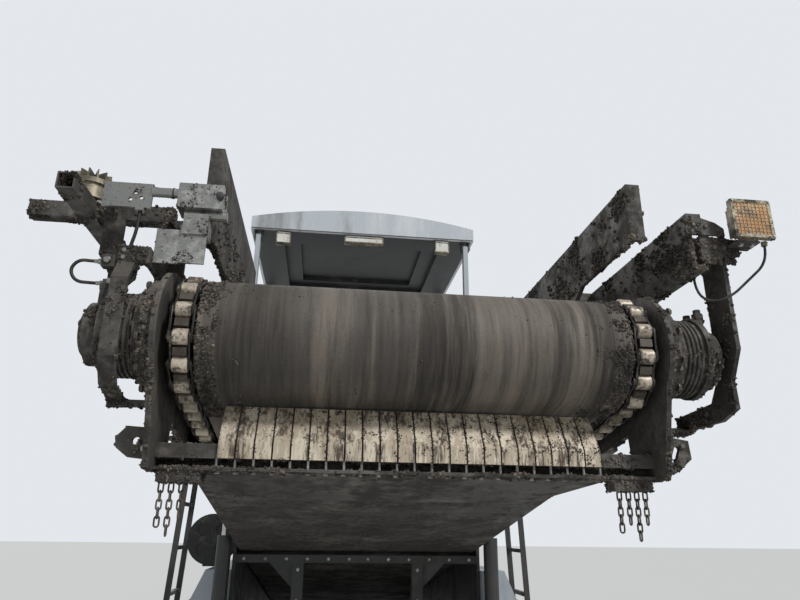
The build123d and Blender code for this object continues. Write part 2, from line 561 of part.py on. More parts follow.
# Short chains of turned links hanging from both ends of the scraper beam: place and count of links
CHAIN_HANGS = ((-695, 5), (-668, 6), (-640, 4), (614, 5), (642, 4), (668, 6), (694, 4))
HANG_STEP = 22.0
HANG_LINK = (18.0, 5.0, 28.0)
with BuildPart() as hanging_chains:
    for x, count in CHAIN_HANGS:
        top = HEAD_Z + beam_low - HANGER_H
        for link in range(count):
            z = top - HANG_LINK[2] / 2 - HANG_STEP * link
            with Locations(Location((x, HEAD_Y + 18, z), (0, 0, 90 * (link % 2)))):
                Box(*HANG_LINK)
finish(hanging_chains, "hanging_chains")

# Free cords at the discharge head, each as its name, radius and route: straight runs joined by arcs
CORDS = (
    ("hose_loop", 5.0, ((-940, -15, 221), (-966, -15, 221), (-1005, -23, 221), (-1024, -28, 186.5),
                        (-1005, -23, 152), (-965, -15, 152), (-925, -15, 152))),
    ("hose_drop", 5.0, ((-830, -100, 352), (-830, -100, 300), (-842, -96, 240), (-860, -70, 214),
                        (-860, -30, 214))),
    ("lamp_cable", 4.0, ((1065, -198, 320), (1065, -198, 268), (1012, -166, 214), (960, -150, 165),
                         (900, -130, 150), (875, -105, 192), (875, -105, 241))),
)
BEND_SHARE = 0.45
CORD_SIDES = 10
for label, radius, route in CORDS:
    points = [Vector(x, HEAD_Y + y, HEAD_Z + z) for x, y, z in route]
    bends = []
    for before, corner, after in zip(points, points[1:], points[2:]):
        near, far = corner - before, after - corner
        half_turn = math.radians(near.get_angle(far)) / 2
        bends.append(BEND_SHARE * min(near.length, far.length) / math.tan(half_turn))
    with BuildPart() as cord:
        with BuildLine() as centre:
            FilletPolyline(*points, radius=bends)
        with BuildSketch(Plane(origin=centre.line @ 0, z_dir=centre.line % 0)) as section:
            RegularPolygon(radius, CORD_SIDES)
        sweep()
    finish(cord, label)
    length = centre.wires()[0].length
    volume_share = cord.part.volume / (section.sketch.area * length)
    print(label, "length", round(length, 1), "volume share", round(volume_share, 4),
          "radii", [round(bend, 1) for bend in bends])

# Lift cylinders between the rear wall ends and the conveyor frame
with BuildPart() as lift_barrels:
    for name, side in SIDES:
        middle = side * LIFT_X
        with BuildPart(mode=Mode.PRIVATE) as barrel:
            wheel((middle - EYE_W / 2, middle + EYE_W / 2), LIFT_Y, LIFT_LOW, EYE_R)
            bar((middle, LIFT_Y, LIFT_LOW + 20), (middle, LIFT_Y, LIFT_LOW + 75), 19)
            bar((middle, LIFT_Y, LIFT_LOW + 75), (middle, LIFT_Y, LIFT_LOW + 450), BARREL_R)
            bar((middle, LIFT_Y, LIFT_LOW + 95), (middle, LIFT_Y, LIFT_LOW + 450), ROD_R + SEAT_GAP,
                Mode.SUBTRACT)
            wheel((middle - EYE_W, middle + EYE_W), LIFT_Y, LIFT_LOW, 17 + PIN_FIT, Mode.SUBTRACT)
        add(barrel.part)
finish(lift_barrels, "lift_barrels")

with BuildPart() as lift_rods:
    for name, side in SIDES:
        middle = side * LIFT_X
        bar((middle, LIFT_Y, LIFT_LOW + 100), (middle, LIFT_Y, LIFT_HIGH), ROD_R)
        wheel((middle - EYE_W / 2, middle + EYE_W / 2), LIFT_Y, LIFT_HIGH, EYE_R)
        wheel((middle - EYE_W / 2, middle + EYE_W / 2), LIFT_Y, LIFT_HIGH, 15, Mode.SUBTRACT)
finish(lift_rods, "lift_rods")

# Chassis: side walls, rear portal, cross beams, track axles and the push-beam fork
WALL_LOW = 330.0
WALL_END_LOW = 400.0
WALL_RISE = 275.0
HOUSE_SILL = 1180.0
NOSE_TOP = 830.0
NOSE_LOW = 420.0
NOSE_RISE = 1805.0
TRACK_BEAMS = (-500.0, 1250.0)
CROSS_BEAMS = (-500.0, 1250.0, 2400.0)
CROSS_BEAM_W = 160.0
CROSS_BEAM_Z = (340.0, 460.0)
PORTAL_POST_X = (345.0, 415.0)
PORTAL_LOW = 400.0
PORTAL_TOP = 1290.0
LINTEL_H = 46.0
PORTAL_D = 80.0
LASHING_Z = 470.0
LASHING_REAR_X = 550.0
LASHING_FRONT_X = 600.0
LIFT_SEAT_HALF = 60.0
BRACE = 150.0
with BuildPart() as chassis_frame:
    for name, side in SIDES:
        outline = [(REAR_Y, WALL_END_LOW), (REAR_Y, DECK_LOW), (DECK_FRONT, DECK_LOW), (DECK_FRONT, HOUSE_LOW),
                   (HOUSE_FRONT, HOUSE_LOW), (HOUSE_FRONT, HOUSE_SILL), (HOPPER_FRONT, NOSE_TOP),
                   (HOPPER_FRONT, NOSE_LOW), (HOPPER_FRONT - NOSE_RISE, WALL_LOW), (REAR_Y + WALL_RISE, WALL_LOW)]
        side_profile(outline, across(side, WALL_IN, WALL_OUT))
        wheel(across(side, WALL_IN, WALL_OUT), TAIL_Y, TAIL_Z, PIVOT_PIN_R + PIN_FIT, Mode.SUBTRACT)
        block(across(side, *PORTAL_POST_X), (REAR_Y, REAR_Y + PORTAL_D), (PORTAL_LOW + 100, PORTAL_TOP))
        post_out = PORTAL_POST_X[1]
        brace = [(side * post_out, PORTAL_TOP), (side * (post_out + BRACE), PORTAL_TOP),
                 (side * post_out, PORTAL_TOP - BRACE)]
        rear_profile(brace, (REAR_Y + PORTAL_D / 2 - 6, REAR_Y + PORTAL_D / 2 + 6))
        for y in TRACK_BEAMS:
            block(across(side, WALL_OUT, TRACK_BEAM_NEAR), (y, y + CROSS_BEAM_W), CROSS_BEAM_Z)
        seat_y = (LIFT_Y - LIFT_SEAT_HALF, LIFT_Y + LIFT_SEAT_HALF)
        seat_z = (LIFT_LOW - LIFT_SEAT_HALF, LIFT_LOW + LIFT_SEAT_HALF)
        block(across(side, WALL_OUT, LIFT_X - EYE_W / 2 - SEAT_GAP), seat_y, seat_z)
        wheel(across(side, LIFT_X - EYE_W / 2 - SEAT_GAP, LIFT_X + EYE_W / 2 + 6), LIFT_Y, LIFT_LOW, 17)
        arm = [(REAR_Y, seat_z[0] - BRACE), (REAR_Y, seat_z[1]), (seat_y[0], seat_z[1]), (seat_y[0], seat_z[0])]
        side_profile(arm, across(side, WALL_IN, WALL_OUT))
        for near, y in ((LASHING_REAR_X, REAR_Y - PORTAL_D), (LASHING_FRONT_X, HOPPER_FRONT)):
            eye_plate = across(side, near, near + EYE_PLATE_T)
            block(eye_plate, (y, y + PORTAL_D), (LASHING_Z - 40, LASHING_Z + 40))
            wheel(eye_plate, y + PORTAL_D / 2, LASHING_Z, LASHING_R, Mode.SUBTRACT)
    block((-WALL_IN, WALL_IN), (REAR_Y, REAR_Y + 100), (PORTAL_TOP, PORTAL_TOP + LINTEL_H))
    block((-WALL_IN, WALL_IN), (REAR_Y, REAR_Y + 120), (PORTAL_LOW, PORTAL_LOW + 100))
    for y in CROSS_BEAMS:
        block((-WALL_IN, WALL_IN), (y, y + CROSS_BEAM_W), CROSS_BEAM_Z)
    block((-WALL_IN, WALL_IN), (HOPPER_FRONT - 120, HOPPER_FRONT), (LASHING_Z - 40, LASHING_Z + 50))
    fork = (-FORK_HALF, FORK_HALF)
    for low in (FORK_LOW, FORK_HIGH):
        block(fork, (HOPPER_FRONT, HOPPER_FRONT + FORK_REACH), (low, low + FORK_T))
    block(fork, (HOPPER_FRONT - FORK_T, HOPPER_FRONT), (FORK_LOW, FORK_HIGH + FORK_T))
    pin_y = HOPPER_FRONT + BEAM_PIN_REACH
    bar((0, pin_y, FORK_LOW + FORK_T), (0, pin_y, FORK_HIGH), BEAM_PIN_R)
finish(chassis_frame, "chassis_frame")

# Crawler tracks: one closed loop with its shoes in the outline
STRAIGHT = TRACK_FRONT - TRACK_REAR
BAND_R = WHEEL_R + LINK_BAND
LOOP_LENGTH = 2 * STRAIGHT + 2 * math.pi * BAND_R


def track_point(distance, height):
    """(y, z) at a distance along the loop's outer band and a height out from it."""
    distance = distance % LOOP_LENGTH
    bend = math.pi * BAND_R
    if distance < STRAIGHT:
        return (TRACK_REAR + distance, TRACK_Z + BAND_R + height)
    if distance < STRAIGHT + bend:
        turn = (distance - STRAIGHT) / BAND_R
        reach = BAND_R + height
        return (TRACK_FRONT + reach * math.sin(turn), TRACK_Z + reach * math.cos(turn))
    if distance < 2 * STRAIGHT + bend:
        return (TRACK_FRONT - (distance - STRAIGHT - bend), TRACK_Z - BAND_R - height)
    turn = (distance - 2 * STRAIGHT - bend) / BAND_R
    reach = BAND_R + height
    return (TRACK_REAR - reach * math.sin(turn), TRACK_Z - reach * math.cos(turn))


def track_outline():
    """Outer outline of the loop, four corners to a shoe."""
    pitch = LOOP_LENGTH / SHOE_COUNT
    corners = []
    for shoe in range(SHOE_COUNT):
        middle = (shoe + 0.5) * pitch
        corners.append(track_point(middle - PAD_LENGTH / 2, 0))
        corners.append(track_point(middle - PAD_LENGTH / 2 + PAD_TAPER, PAD_T))
        corners.append(track_point(middle + PAD_LENGTH / 2 - PAD_TAPER, PAD_T))
        corners.append(track_point(middle + PAD_LENGTH / 2, 0))
    return corners


for name, side in SIDES:
    with BuildPart() as track:
        low, high = across(side, TRACK_IN, TRACK_OUT)
        side_profile(track_outline(), (low, high))
        for y in (TRACK_REAR, TRACK_FRONT):
            wheel((low, high), y, TRACK_Z, WHEEL_R, Mode.SUBTRACT)
        block((low, high), (TRACK_REAR, TRACK_FRONT), (TRACK_Z - WHEEL_R, TRACK_Z + WHEEL_R), Mode.SUBTRACT)
    finish(track, f"track_{name}")

# Undercarriage: side beam, drive sprocket, idler and rollers of each track
BEAM_ENDS = (-560.0, 1300.0)
BEAM_NOSE = 140.0
BEAM_Z = (210.0, 330.0, 470.0)
HUB_R = 70.0
SPROCKET_TEETH = 19
SPROCKET_ROOT = 32.0
WEB_HALF = 30.0
YOKE_T = 45.0
# radius, height of the band's face it rolls on, up or down from it, places along the track
ROLLER_ROWS = ((95.0, TRACK_Z - WHEEL_R, 1, (-500, -150, 200, 550, 900, 1250)),
               (60.0, TRACK_Z + WHEEL_R, -1, (0, 750)))
sprocket_outline = []
for step in range(2 * SPROCKET_TEETH):
    reach = WHEEL_R - SEAT_GAP - SPROCKET_ROOT * (step % 2)
    for offset in (-0.3, 0.3):
        turn = math.pi / SPROCKET_TEETH * (step + offset)
        sprocket_outline.append((TRACK_REAR + reach * math.cos(turn), TRACK_Z + reach * math.sin(turn)))
with BuildPart() as undercarriages:
    for name, side in SIDES:
        low, mid, high = BEAM_Z
        rear_end, front_end = BEAM_ENDS
        side_profile([(rear_end, low), (rear_end - BEAM_NOSE, mid), (rear_end, high), (front_end, high),
                      (front_end + BEAM_NOSE, mid), (front_end, low)], across(side, TRACK_BEAM_NEAR, TRACK_BEAM_FAR))
        web = across(side, TRACK_X - WEB_HALF, TRACK_X + WEB_HALF)
        side_profile(sprocket_outline, web)
        wheel(web, TRACK_FRONT, TRACK_Z, WHEEL_R - SEAT_GAP, sides=48)
        for y, end in ((TRACK_REAR, rear_end), (TRACK_FRONT, front_end)):
            wheel(across(side, TRACK_BEAM_NEAR - 15, TRACK_BEAM_FAR + 25), y, TRACK_Z, HUB_R, sides=20)
            along = (min(y, end), max(y, end))
            for near in (TRACK_BEAM_NEAR, TRACK_BEAM_FAR - YOKE_T):
                block(across(side, near, near + YOKE_T), along, (TRACK_Z - 60, TRACK_Z + 60))
        for radius, seat, up, places in ROLLER_ROWS:
            for y in places:
                centre = seat + up * (radius + SEAT_GAP)
                wheel(across(side, TRACK_BEAM_NEAR + 20, TRACK_BEAM_FAR - 20), y, centre, radius, sides=16)
                if up < 0:
                    block(across(side, TRACK_X - 20, TRACK_X + 20), (y - 20, y + 20), (high, centre))
finish(undercarriages, "undercarriages")

# Side hoods over the tracks, with sloped ends and a hinged-lid seam
HOOD_TOP = 1250.0
HOOD_LOW = 770.0
HOOD_FAR = 1250.0
HOOD_EDGE = 900.0
HOOD_BREAK = (1010.0, 1090.0)
HOOD_RIDGE = 940.0
HOOD_Y = (REAR_Y - 50, 1275.0)
HOOD_SLOPE = 170.0
SEAM = 8.0
SEAM_DEPTH = 6.0
with BuildPart() as side_hoods:
    for name, side in SIDES:
        outline = [(WALL_OUT, HOOD_LOW), (HOOD_FAR, HOOD_LOW), (HOOD_FAR, HOOD_EDGE), HOOD_BREAK,
                   (HOOD_RIDGE, HOOD_TOP), (WALL_OUT, HOOD_TOP)]
        rear_profile([(side * x, z) for x, z in outline], HOOD_Y)
        nose = [(HOOD_Y[1] - HOOD_SLOPE, HOOD_TOP + 1), (HOOD_Y[1] + 1, HOOD_TOP + 1), (HOOD_Y[1] + 1, HOOD_EDGE)]
        side_profile(nose, across(side, WALL_OUT, HOOD_FAR), Mode.SUBTRACT)
        for y in (-1000, -325, 350):
            block(across(side, HOOD_BREAK[0], HOOD_FAR + 1), (y, y + SEAM), (HOOD_LOW - 1, HOOD_EDGE), Mode.SUBTRACT)
        for low in (HOOD_LOW + 40, HOOD_EDGE - 20):
            block(across(side, HOOD_FAR - SEAM_DEPTH, HOOD_FAR + 1), (HOOD_Y[0] - 1, HOOD_Y[1] + 1),
                  (low, low + SEAM), Mode.SUBTRACT)
finish(side_hoods, "side_hoods")

# Deck with toe boards, rails and steps
TOE_T = 6.0
TOE_H = 100.0
TOE_REAR = -640.0
with BuildPart() as deck:
    block((-DECK_HALF, DECK_HALF), (DECK_REAR, DECK_FRONT), (DECK_LOW, DECK_TOP))
    block((-DECK_HALF + 300, DECK_HALF - 300), (DECK_REAR, DECK_REAR + TOE_T), (DECK_TOP, DECK_TOP + TOE_H))
    for name, side in SIDES:
        block(across(side, DECK_HALF - TOE_T, DECK_HALF), (TOE_REAR, DECK_FRONT - 30), (DECK_TOP, DECK_TOP + TOE_H))
    for y in (POST_REAR, POST_FRONT):
        for name, side in SIDES:
            for near in (POST_X - POST_T / 2 - EAR_SIDE - POST_EAR, POST_X + POST_T / 2 + EAR_SIDE):
                block(across(side, near, near + POST_EAR), (y - 34, y + 34), (DECK_TOP, DECK_TOP + 95))
            reach = POST_T / 2 + EAR_SIDE
            wheel(across(side, POST_X - reach, POST_X + reach), y, DECK_TOP + 60, PIN_R)
finish(deck, "deck")

RAIL_R = 21.0
RAIL_SIDES = 12
RAIL_TOP = 3050.0
RAIL_MID = 2550.0
RAIL_SIDE = 1172.0
RAIL_HALF = 760.0
RAIL_REAR = DECK_REAR + 32
SIDE_POSTS = (-620.0, -80.0, 460.0)
with BuildPart() as guard_rails:
    for x in (-RAIL_HALF, 0, RAIL_HALF):
        bar((x, RAIL_REAR, DECK_TOP), (x, RAIL_REAR, RAIL_TOP), RAIL_R, sides=RAIL_SIDES)
    for level in (RAIL_MID, RAIL_TOP):
        bar((-RAIL_HALF, RAIL_REAR, level), (RAIL_HALF, RAIL_REAR, level), RAIL_R, sides=RAIL_SIDES)
    for name, side in SIDES:
        x = side * RAIL_SIDE
        for y in SIDE_POSTS:
            bar((x, y, DECK_TOP), (x, y, RAIL_TOP), RAIL_R, sides=RAIL_SIDES)
        for level in (RAIL_MID, RAIL_TOP):
            bar((x, SIDE_POSTS[0], level), (x, SIDE_POSTS[-1], level), RAIL_R, sides=RAIL_SIDES)
finish(guard_rails, "guard_rails")

STEP_REAR = -1080.0
STEP_WIDTH = 380.0
STEP_FOOT = (1290.0, 400.0)
STEP_HEAD = (1215.0, DECK_TOP)
with BuildPart() as steps:
    for name, side in SIDES:
        foot_x, foot_z = STEP_FOOT
        head_x, head_z = STEP_HEAD
        outline = [(side * foot_x, foot_z), (side * (foot_x + 40), foot_z), (side * (head_x + 40), head_z),
                   (side * head_x, head_z)]
        for y in (STEP_REAR, STEP_REAR + STEP_WIDTH):
            rear_profile(outline, (y - 6, y + 6))
        for rung in range(6):
            z = foot_z + 40 + 300 * rung
            x = foot_x + (head_x - foot_x) * (z - foot_z) / (head_z - foot_z)
            block(across(side, x + 2, x + 36), (STEP_REAR, STEP_REAR + STEP_WIDTH), (z, z + 25))
        block(across(side, DECK_HALF, head_x + 20), (STEP_REAR - 6, STEP_REAR + STEP_WIDTH + 6),
              (DECK_LOW + 5, DECK_TOP))
        block(across(side, 1250, 1285), (STEP_REAR, STEP_REAR + STEP_WIDTH), (820, 850))
finish(steps, "steps")

# Engine housing with door openings, louvred front, exhaust stack and air intake, plain engine block inside
DOOR_EDGE = 100.0
DOOR_SILL = 120.0
LOUVRE_COUNT = 9
LOUVRE_STEP = 62.0
LOUVRE_H = 30.0
LOUVRE_HALF = 560.0
LOUVRE_TOP = 160.0
EXHAUST = (560.0, 1150.0)
EXHAUST_R = 55.0
EXHAUST_TOP = HOUSE_TOP + 480
INTAKE = (-560.0, 1150.0)
INTAKE_R = 95.0
with BuildPart() as engine_housing:
    block((-HOUSE_HALF, HOUSE_HALF), (DECK_FRONT, HOUSE_FRONT), (HOUSE_LOW, HOUSE_TOP))
    block((-HOUSE_HALF + HOUSE_T, HOUSE_HALF - HOUSE_T), (DECK_FRONT + HOUSE_T, HOUSE_FRONT - HOUSE_T),
          (HOUSE_LOW + HOUSE_T, HOUSE_TOP - HOUSE_T), Mode.SUBTRACT)
    block((-HOUSE_HALF - 1, HOUSE_HALF + 1), (DECK_FRONT + DOOR_EDGE, HOUSE_FRONT - DOOR_EDGE),
          (HOUSE_LOW + DOOR_SILL, HOUSE_TOP - DOOR_SILL), Mode.SUBTRACT)
    for louvre in range(LOUVRE_COUNT):
        top = HOUSE_TOP - LOUVRE_TOP - LOUVRE_STEP * louvre
        block((-LOUVRE_HALF, LOUVRE_HALF), (HOUSE_FRONT - HOUSE_T - 1, HOUSE_FRONT + 1), (top - LOUVRE_H, top),
              Mode.SUBTRACT)
        lip = [(HOUSE_FRONT, top), (HOUSE_FRONT + 18, top - LOUVRE_H), (HOUSE_FRONT + 15, top - LOUVRE_H),
               (HOUSE_FRONT - 3, top)]
        side_profile(lip, (-LOUVRE_HALF - 10, LOUVRE_HALF + 10))
    bar((*EXHAUST, HOUSE_TOP - 1), (*EXHAUST, EXHAUST_TOP), EXHAUST_R)
    bar((*EXHAUST, EXHAUST_TOP - 60), (*EXHAUST, EXHAUST_TOP), EXHAUST_R - 5, Mode.SUBTRACT)
    bar((*INTAKE, HOUSE_TOP - 1), (*INTAKE, HOUSE_TOP + 90), EXHAUST_R)
    bar((*INTAKE, HOUSE_TOP + 90), (*INTAKE, HOUSE_TOP + 170), INTAKE_R)
finish(engine_housing, "engine_housing")

with BuildPart() as engine_block:
    block((-450, 450), (DECK_FRONT + 200, HOUSE_FRONT - 200), (HOUSE_LOW + HOUSE_T, HOUSE_LOW + 700))
finish(engine_block, "engine_block")

DOOR_GAP = 0.5
DOOR_T = 12.0
DOOR_LAP = 20.0
DOOR_LOUVRES = 8
DOOR_LOUVRE_STEP = 70.0
DOOR_LOUVRE_TOP = 230.0
HANDLE_W = 150.0
for name, side in SIDES:
    with BuildPart() as engine_door:
        panel = across(side, HOUSE_HALF + DOOR_GAP, HOUSE_HALF + DOOR_GAP + DOOR_T)
        block(panel, (DECK_FRONT + DOOR_EDGE - DOOR_LAP, HOUSE_FRONT - DOOR_EDGE + DOOR_LAP),
              (HOUSE_LOW + DOOR_SILL - DOOR_LAP, HOUSE_TOP - DOOR_SILL + DOOR_LAP))
        for louvre in range(DOOR_LOUVRES):
            top = HOUSE_TOP - DOOR_LOUVRE_TOP - DOOR_LOUVRE_STEP * louvre
            block(across(side, HOUSE_HALF - 1, HOUSE_HALF + DOOR_T + 1), (DECK_FRONT + 250, HOUSE_FRONT - 250),
                  (top - LOUVRE_H, top), Mode.SUBTRACT)
        grip = across(side, HOUSE_HALF + DOOR_GAP + DOOR_T, HOUSE_HALF + DOOR_GAP + DOOR_T + 26)
        low = HOUSE_LOW + DOOR_SILL + 130
        grip_y = DECK_FRONT + DOOR_EDGE + 30
        for z in (low, low + HANDLE_W - 14):
            block(grip, (grip_y, grip_y + 14), (z, z + 14))
        block((grip[1] - 10, grip[1]) if side > 0 else (grip[0], grip[0] + 10), (grip_y, grip_y + 14),
              (low, low + HANDLE_W))
    finish(engine_door, f"engine_door_{name}")

# Hose reel at the left behind the rear wall: two spoked cheeks, wound hose and stand
REEL_X = -957.0
REEL_R = 160.0
REEL_REAR = -1475.0
REEL_W = 90.0
REEL_HOSE_R = 13.0
REEL_WRAPS = 3
with BuildPart() as hose_reel:
    reel_z = HOOD_TOP + REEL_R + 10
    centre = (REEL_X, reel_z)
    for y in (REEL_REAR, REEL_REAR + REEL_W - 6):
        bar((REEL_X, y, reel_z), (REEL_X, y + 6, reel_z), REEL_R, sides=32)
        for spoke in range(4):
            turn = math.radians(45 + 90 * spoke)
            hole = (REEL_X + 85 * math.cos(turn), reel_z + 85 * math.sin(turn))
            bar((hole[0], y - 1, hole[1]), (hole[0], y + 7, hole[1]), 38, Mode.SUBTRACT, sides=16)
    bar((REEL_X, REEL_REAR, reel_z), (REEL_X, REEL_REAR + REEL_W, reel_z), 38, sides=20)
    for wrap in range(REEL_WRAPS):
        y = REEL_REAR + 6 + REEL_HOSE_R + 2 * REEL_HOSE_R * wrap
        bar((REEL_X, y - REEL_HOSE_R, reel_z), (REEL_X, y + REEL_HOSE_R - 3, reel_z), REEL_R - 22, sides=28)
        bar((REEL_X, y - REEL_HOSE_R, reel_z), (REEL_X, y + REEL_HOSE_R, reel_z), REEL_R - 30, sides=28)
    block((REEL_X - 60, REEL_X + 60), (REEL_REAR + REEL_W, REEL_REAR + REEL_W + 8), (HOOD_TOP, reel_z + 60))
    block((REEL_X - 60, REEL_X - 20), (REEL_REAR + REEL_W, REEL_REAR + REEL_W + 60), (HOOD_TOP, HOOD_TOP + 8))
finish(hose_reel, "hose_reel")

# Seats that swivel outwards on their pedestals, each with a console
SEAT_X = 560.0
SEAT_Y = -60.0
PAN_Z = DECK_TOP + 330
for name, side in SIDES:
    with BuildPart() as seat_frame:
        bar((side * SEAT_X, SEAT_Y, DECK_TOP + SEAT_GAP), (side * SEAT_X, SEAT_Y, DECK_TOP + 20), 130, sides=32)
        bar((side * SEAT_X, SEAT_Y, DECK_TOP + 20), (side * SEAT_X, SEAT_Y, PAN_Z), 50, sides=24)
        block(across(side, SEAT_X - 190, SEAT_X + 190), (SEAT_Y - 222, SEAT_Y + 230), (PAN_Z, PAN_Z + 20))
        block(across(side, SEAT_X - 150, SEAT_X + 150), (SEAT_Y - 234, SEAT_Y - 222), (PAN_Z, PAN_Z + 560))
        for near in (SEAT_X - 215, SEAT_X + 190):
            block(across(side, near, near + 25), (SEAT_Y - 180, SEAT_Y - 130), (PAN_Z, PAN_Z + 200))
            block(across(side, near, near + 25), (SEAT_Y - 180, SEAT_Y + 150), (PAN_Z + 200, PAN_Z + 230))
        block(across(side, SEAT_X - 150, SEAT_X - 110), (SEAT_Y + 230, SEAT_Y + 370), (PAN_Z, PAN_Z + 20))
        block(across(side, SEAT_X - 150, SEAT_X - 110), (SEAT_Y + 330, SEAT_Y + 370), (PAN_Z + 20, PAN_Z + 330))
        console = [(SEAT_Y + 270, PAN_Z + 330), (SEAT_Y + 390, PAN_Z + 300), (SEAT_Y + 400, PAN_Z + 400),
                   (SEAT_Y + 300, PAN_Z + 470)]
        side_profile(console, across(side, SEAT_X - 230, SEAT_X + 60))
    finish(seat_frame, f"seat_frame_{name}")
    with BuildPart() as cushions:
        block(across(side, SEAT_X - 185, SEAT_X + 185), (SEAT_Y - 130, SEAT_Y + 240),
              (PAN_Z + 20 + SEAT_GAP, PAN_Z + 110))
        block(across(side, SEAT_X - 180, SEAT_X + 180), (SEAT_Y - 222 + SEAT_GAP, SEAT_Y - 132),
              (PAN_Z + 60, PAN_Z + 600))
    finish(cushions, f"seat_cushions_{name}")

# Roof on two pairs of posts that fold back together
ROOF_LOW = 3905.0
ROOF_EDGE = 115.0
ROOF_RISE = 110.0
ROOF_REAR = -1025.0
ROOF_FRONT = 675.0
ROOF_HALF = 970.0
ROOF_T = 22.0
POST_FOOT = DECK_TOP + 60
POST_HEAD = ROOF_LOW - 45
for name, y, pin in (("rear", POST_REAR, PIN_R + PIN_FIT), ("front", POST_FRONT, PIN_R + 3)):
    with BuildPart() as posts:
        for side_name, side in SIDES:
            width = across(side, POST_X - POST_T / 2, POST_X + POST_T / 2)
            block(width, (y - 30, y + 30), (POST_FOOT, POST_HEAD))
            for z in (POST_FOOT, POST_HEAD):
                wheel(width, y, z, 30)
            wheel(width, y, POST_FOOT, PIN_R + PIN_FIT, Mode.SUBTRACT)
            wheel(width, y, POST_HEAD, pin, Mode.SUBTRACT)
    finish(posts, f"roof_posts_{name}")


def roof_arch(half, low, shoulder, crown):
    """Cross-section of the roof, in the sketch that is open."""
    with BuildLine() as edge:
        Line((-half, low), (-half, shoulder))
        ThreePointArc((-half, shoulder), (0, crown), (half, shoulder))
        Line((half, shoulder), (half, low))
        Line((half, low), (-half, low))
    make_face(edge.line.edges())


with BuildPart() as roof_shell:
    with BuildSketch(Plane.XZ.offset(-ROOF_REAR)) as outer_arch:
        roof_arch(ROOF_HALF, ROOF_LOW, ROOF_LOW + ROOF_EDGE, ROOF_LOW + ROOF_EDGE + ROOF_RISE)
    extrude(outer_arch.sketch, amount=ROOF_FRONT - ROOF_REAR, dir=(0, 1, 0))
    with BuildSketch(Plane.XZ.offset(-ROOF_REAR - ROOF_T)) as inner_arch:
        inner_edge = ROOF_LOW + ROOF_EDGE - ROOF_T
        roof_arch(ROOF_HALF - ROOF_T, ROOF_LOW, inner_edge, inner_edge + ROOF_RISE)
    extrude(inner_arch.sketch, amount=ROOF_FRONT - ROOF_REAR - 2 * ROOF_T, dir=(0, 1, 0), mode=Mode.SUBTRACT)
finish(roof_shell, "roof_shell")

# Moulded lining under the roof with two stepped recesses and the ears that take the posts
# half width, rear and front of each recess, and how far its floor lies above the lining's lower face
LINING_STEPS = ((700.0, -770.0, 420.0, 55.0), (560.0, -630.0, 280.0, 95.0))
LINING_T = 15.0
LINING_FLAT = 20.0
with BuildPart() as roof_lining:
    inside = ROOF_HALF - ROOF_T
    along = (ROOF_REAR + ROOF_T, ROOF_FRONT - ROOF_T)
    block((-inside, inside), along, (ROOF_LOW, ROOF_LOW + LINING_FLAT))
    for half, rear, front, depth in LINING_STEPS:
        block((-half - LINING_T, half + LINING_T), (rear - LINING_T, front + LINING_T),
              (ROOF_LOW + depth - 40, ROOF_LOW + depth + LINING_T))
    for half, rear, front, depth in LINING_STEPS:
        block((-half, half), (rear, front), (ROOF_LOW, ROOF_LOW + depth), Mode.SUBTRACT)
    for y in (POST_REAR, POST_FRONT):
        for name, side in SIDES:
            for near in (POST_X - POST_T / 2 - EAR_SIDE - POST_EAR, POST_X + POST_T / 2 + EAR_SIDE):
                block(across(side, near, near + POST_EAR), (y - 32, y + 32), (POST_HEAD - 32, ROOF_LOW))
            reach = POST_T / 2 + EAR_SIDE
            wheel(across(side, POST_X - reach, POST_X + reach), y, POST_HEAD, PIN_R)
finish(roof_lining, "roof_lining")

# Lamps under the roof's rear edge: a square work lamp at each corner and a long light between them
# middle, half width and height of each lamp
ROOF_LAMPS = ((-690.0, 62.0, 96.0), (690.0, 62.0, 96.0), (0.0, 170.0, 52.0))
ROOF_LAMP_D = 70.0
with BuildPart() as roof_lamps:
    for x, half, height in ROOF_LAMPS:
        rear = ROOF_REAR + 12
        top = ROOF_LOW - SEAT_GAP
        stem_low = top - 18
        block((x - 24, x + 24), (rear + 20, rear + 50), (stem_low, top))
        block((x - half, x + half), (rear, rear + ROOF_LAMP_D), (stem_low - height, stem_low))
        block((x - half + 8, x + half - 8), (rear - 1, rear + 6), (stem_low - height + 8, stem_low - 8), Mode.SUBTRACT)
        for fin in range(5):
            fin_x = x - half + (2 * half - 5) * fin / 4
            block((fin_x, fin_x + 5), (rear + ROOF_LAMP_D, rear + ROOF_LAMP_D + 14), (stem_low - height + 6, stem_low - 6))
finish(roof_lamps, "roof_lamps")

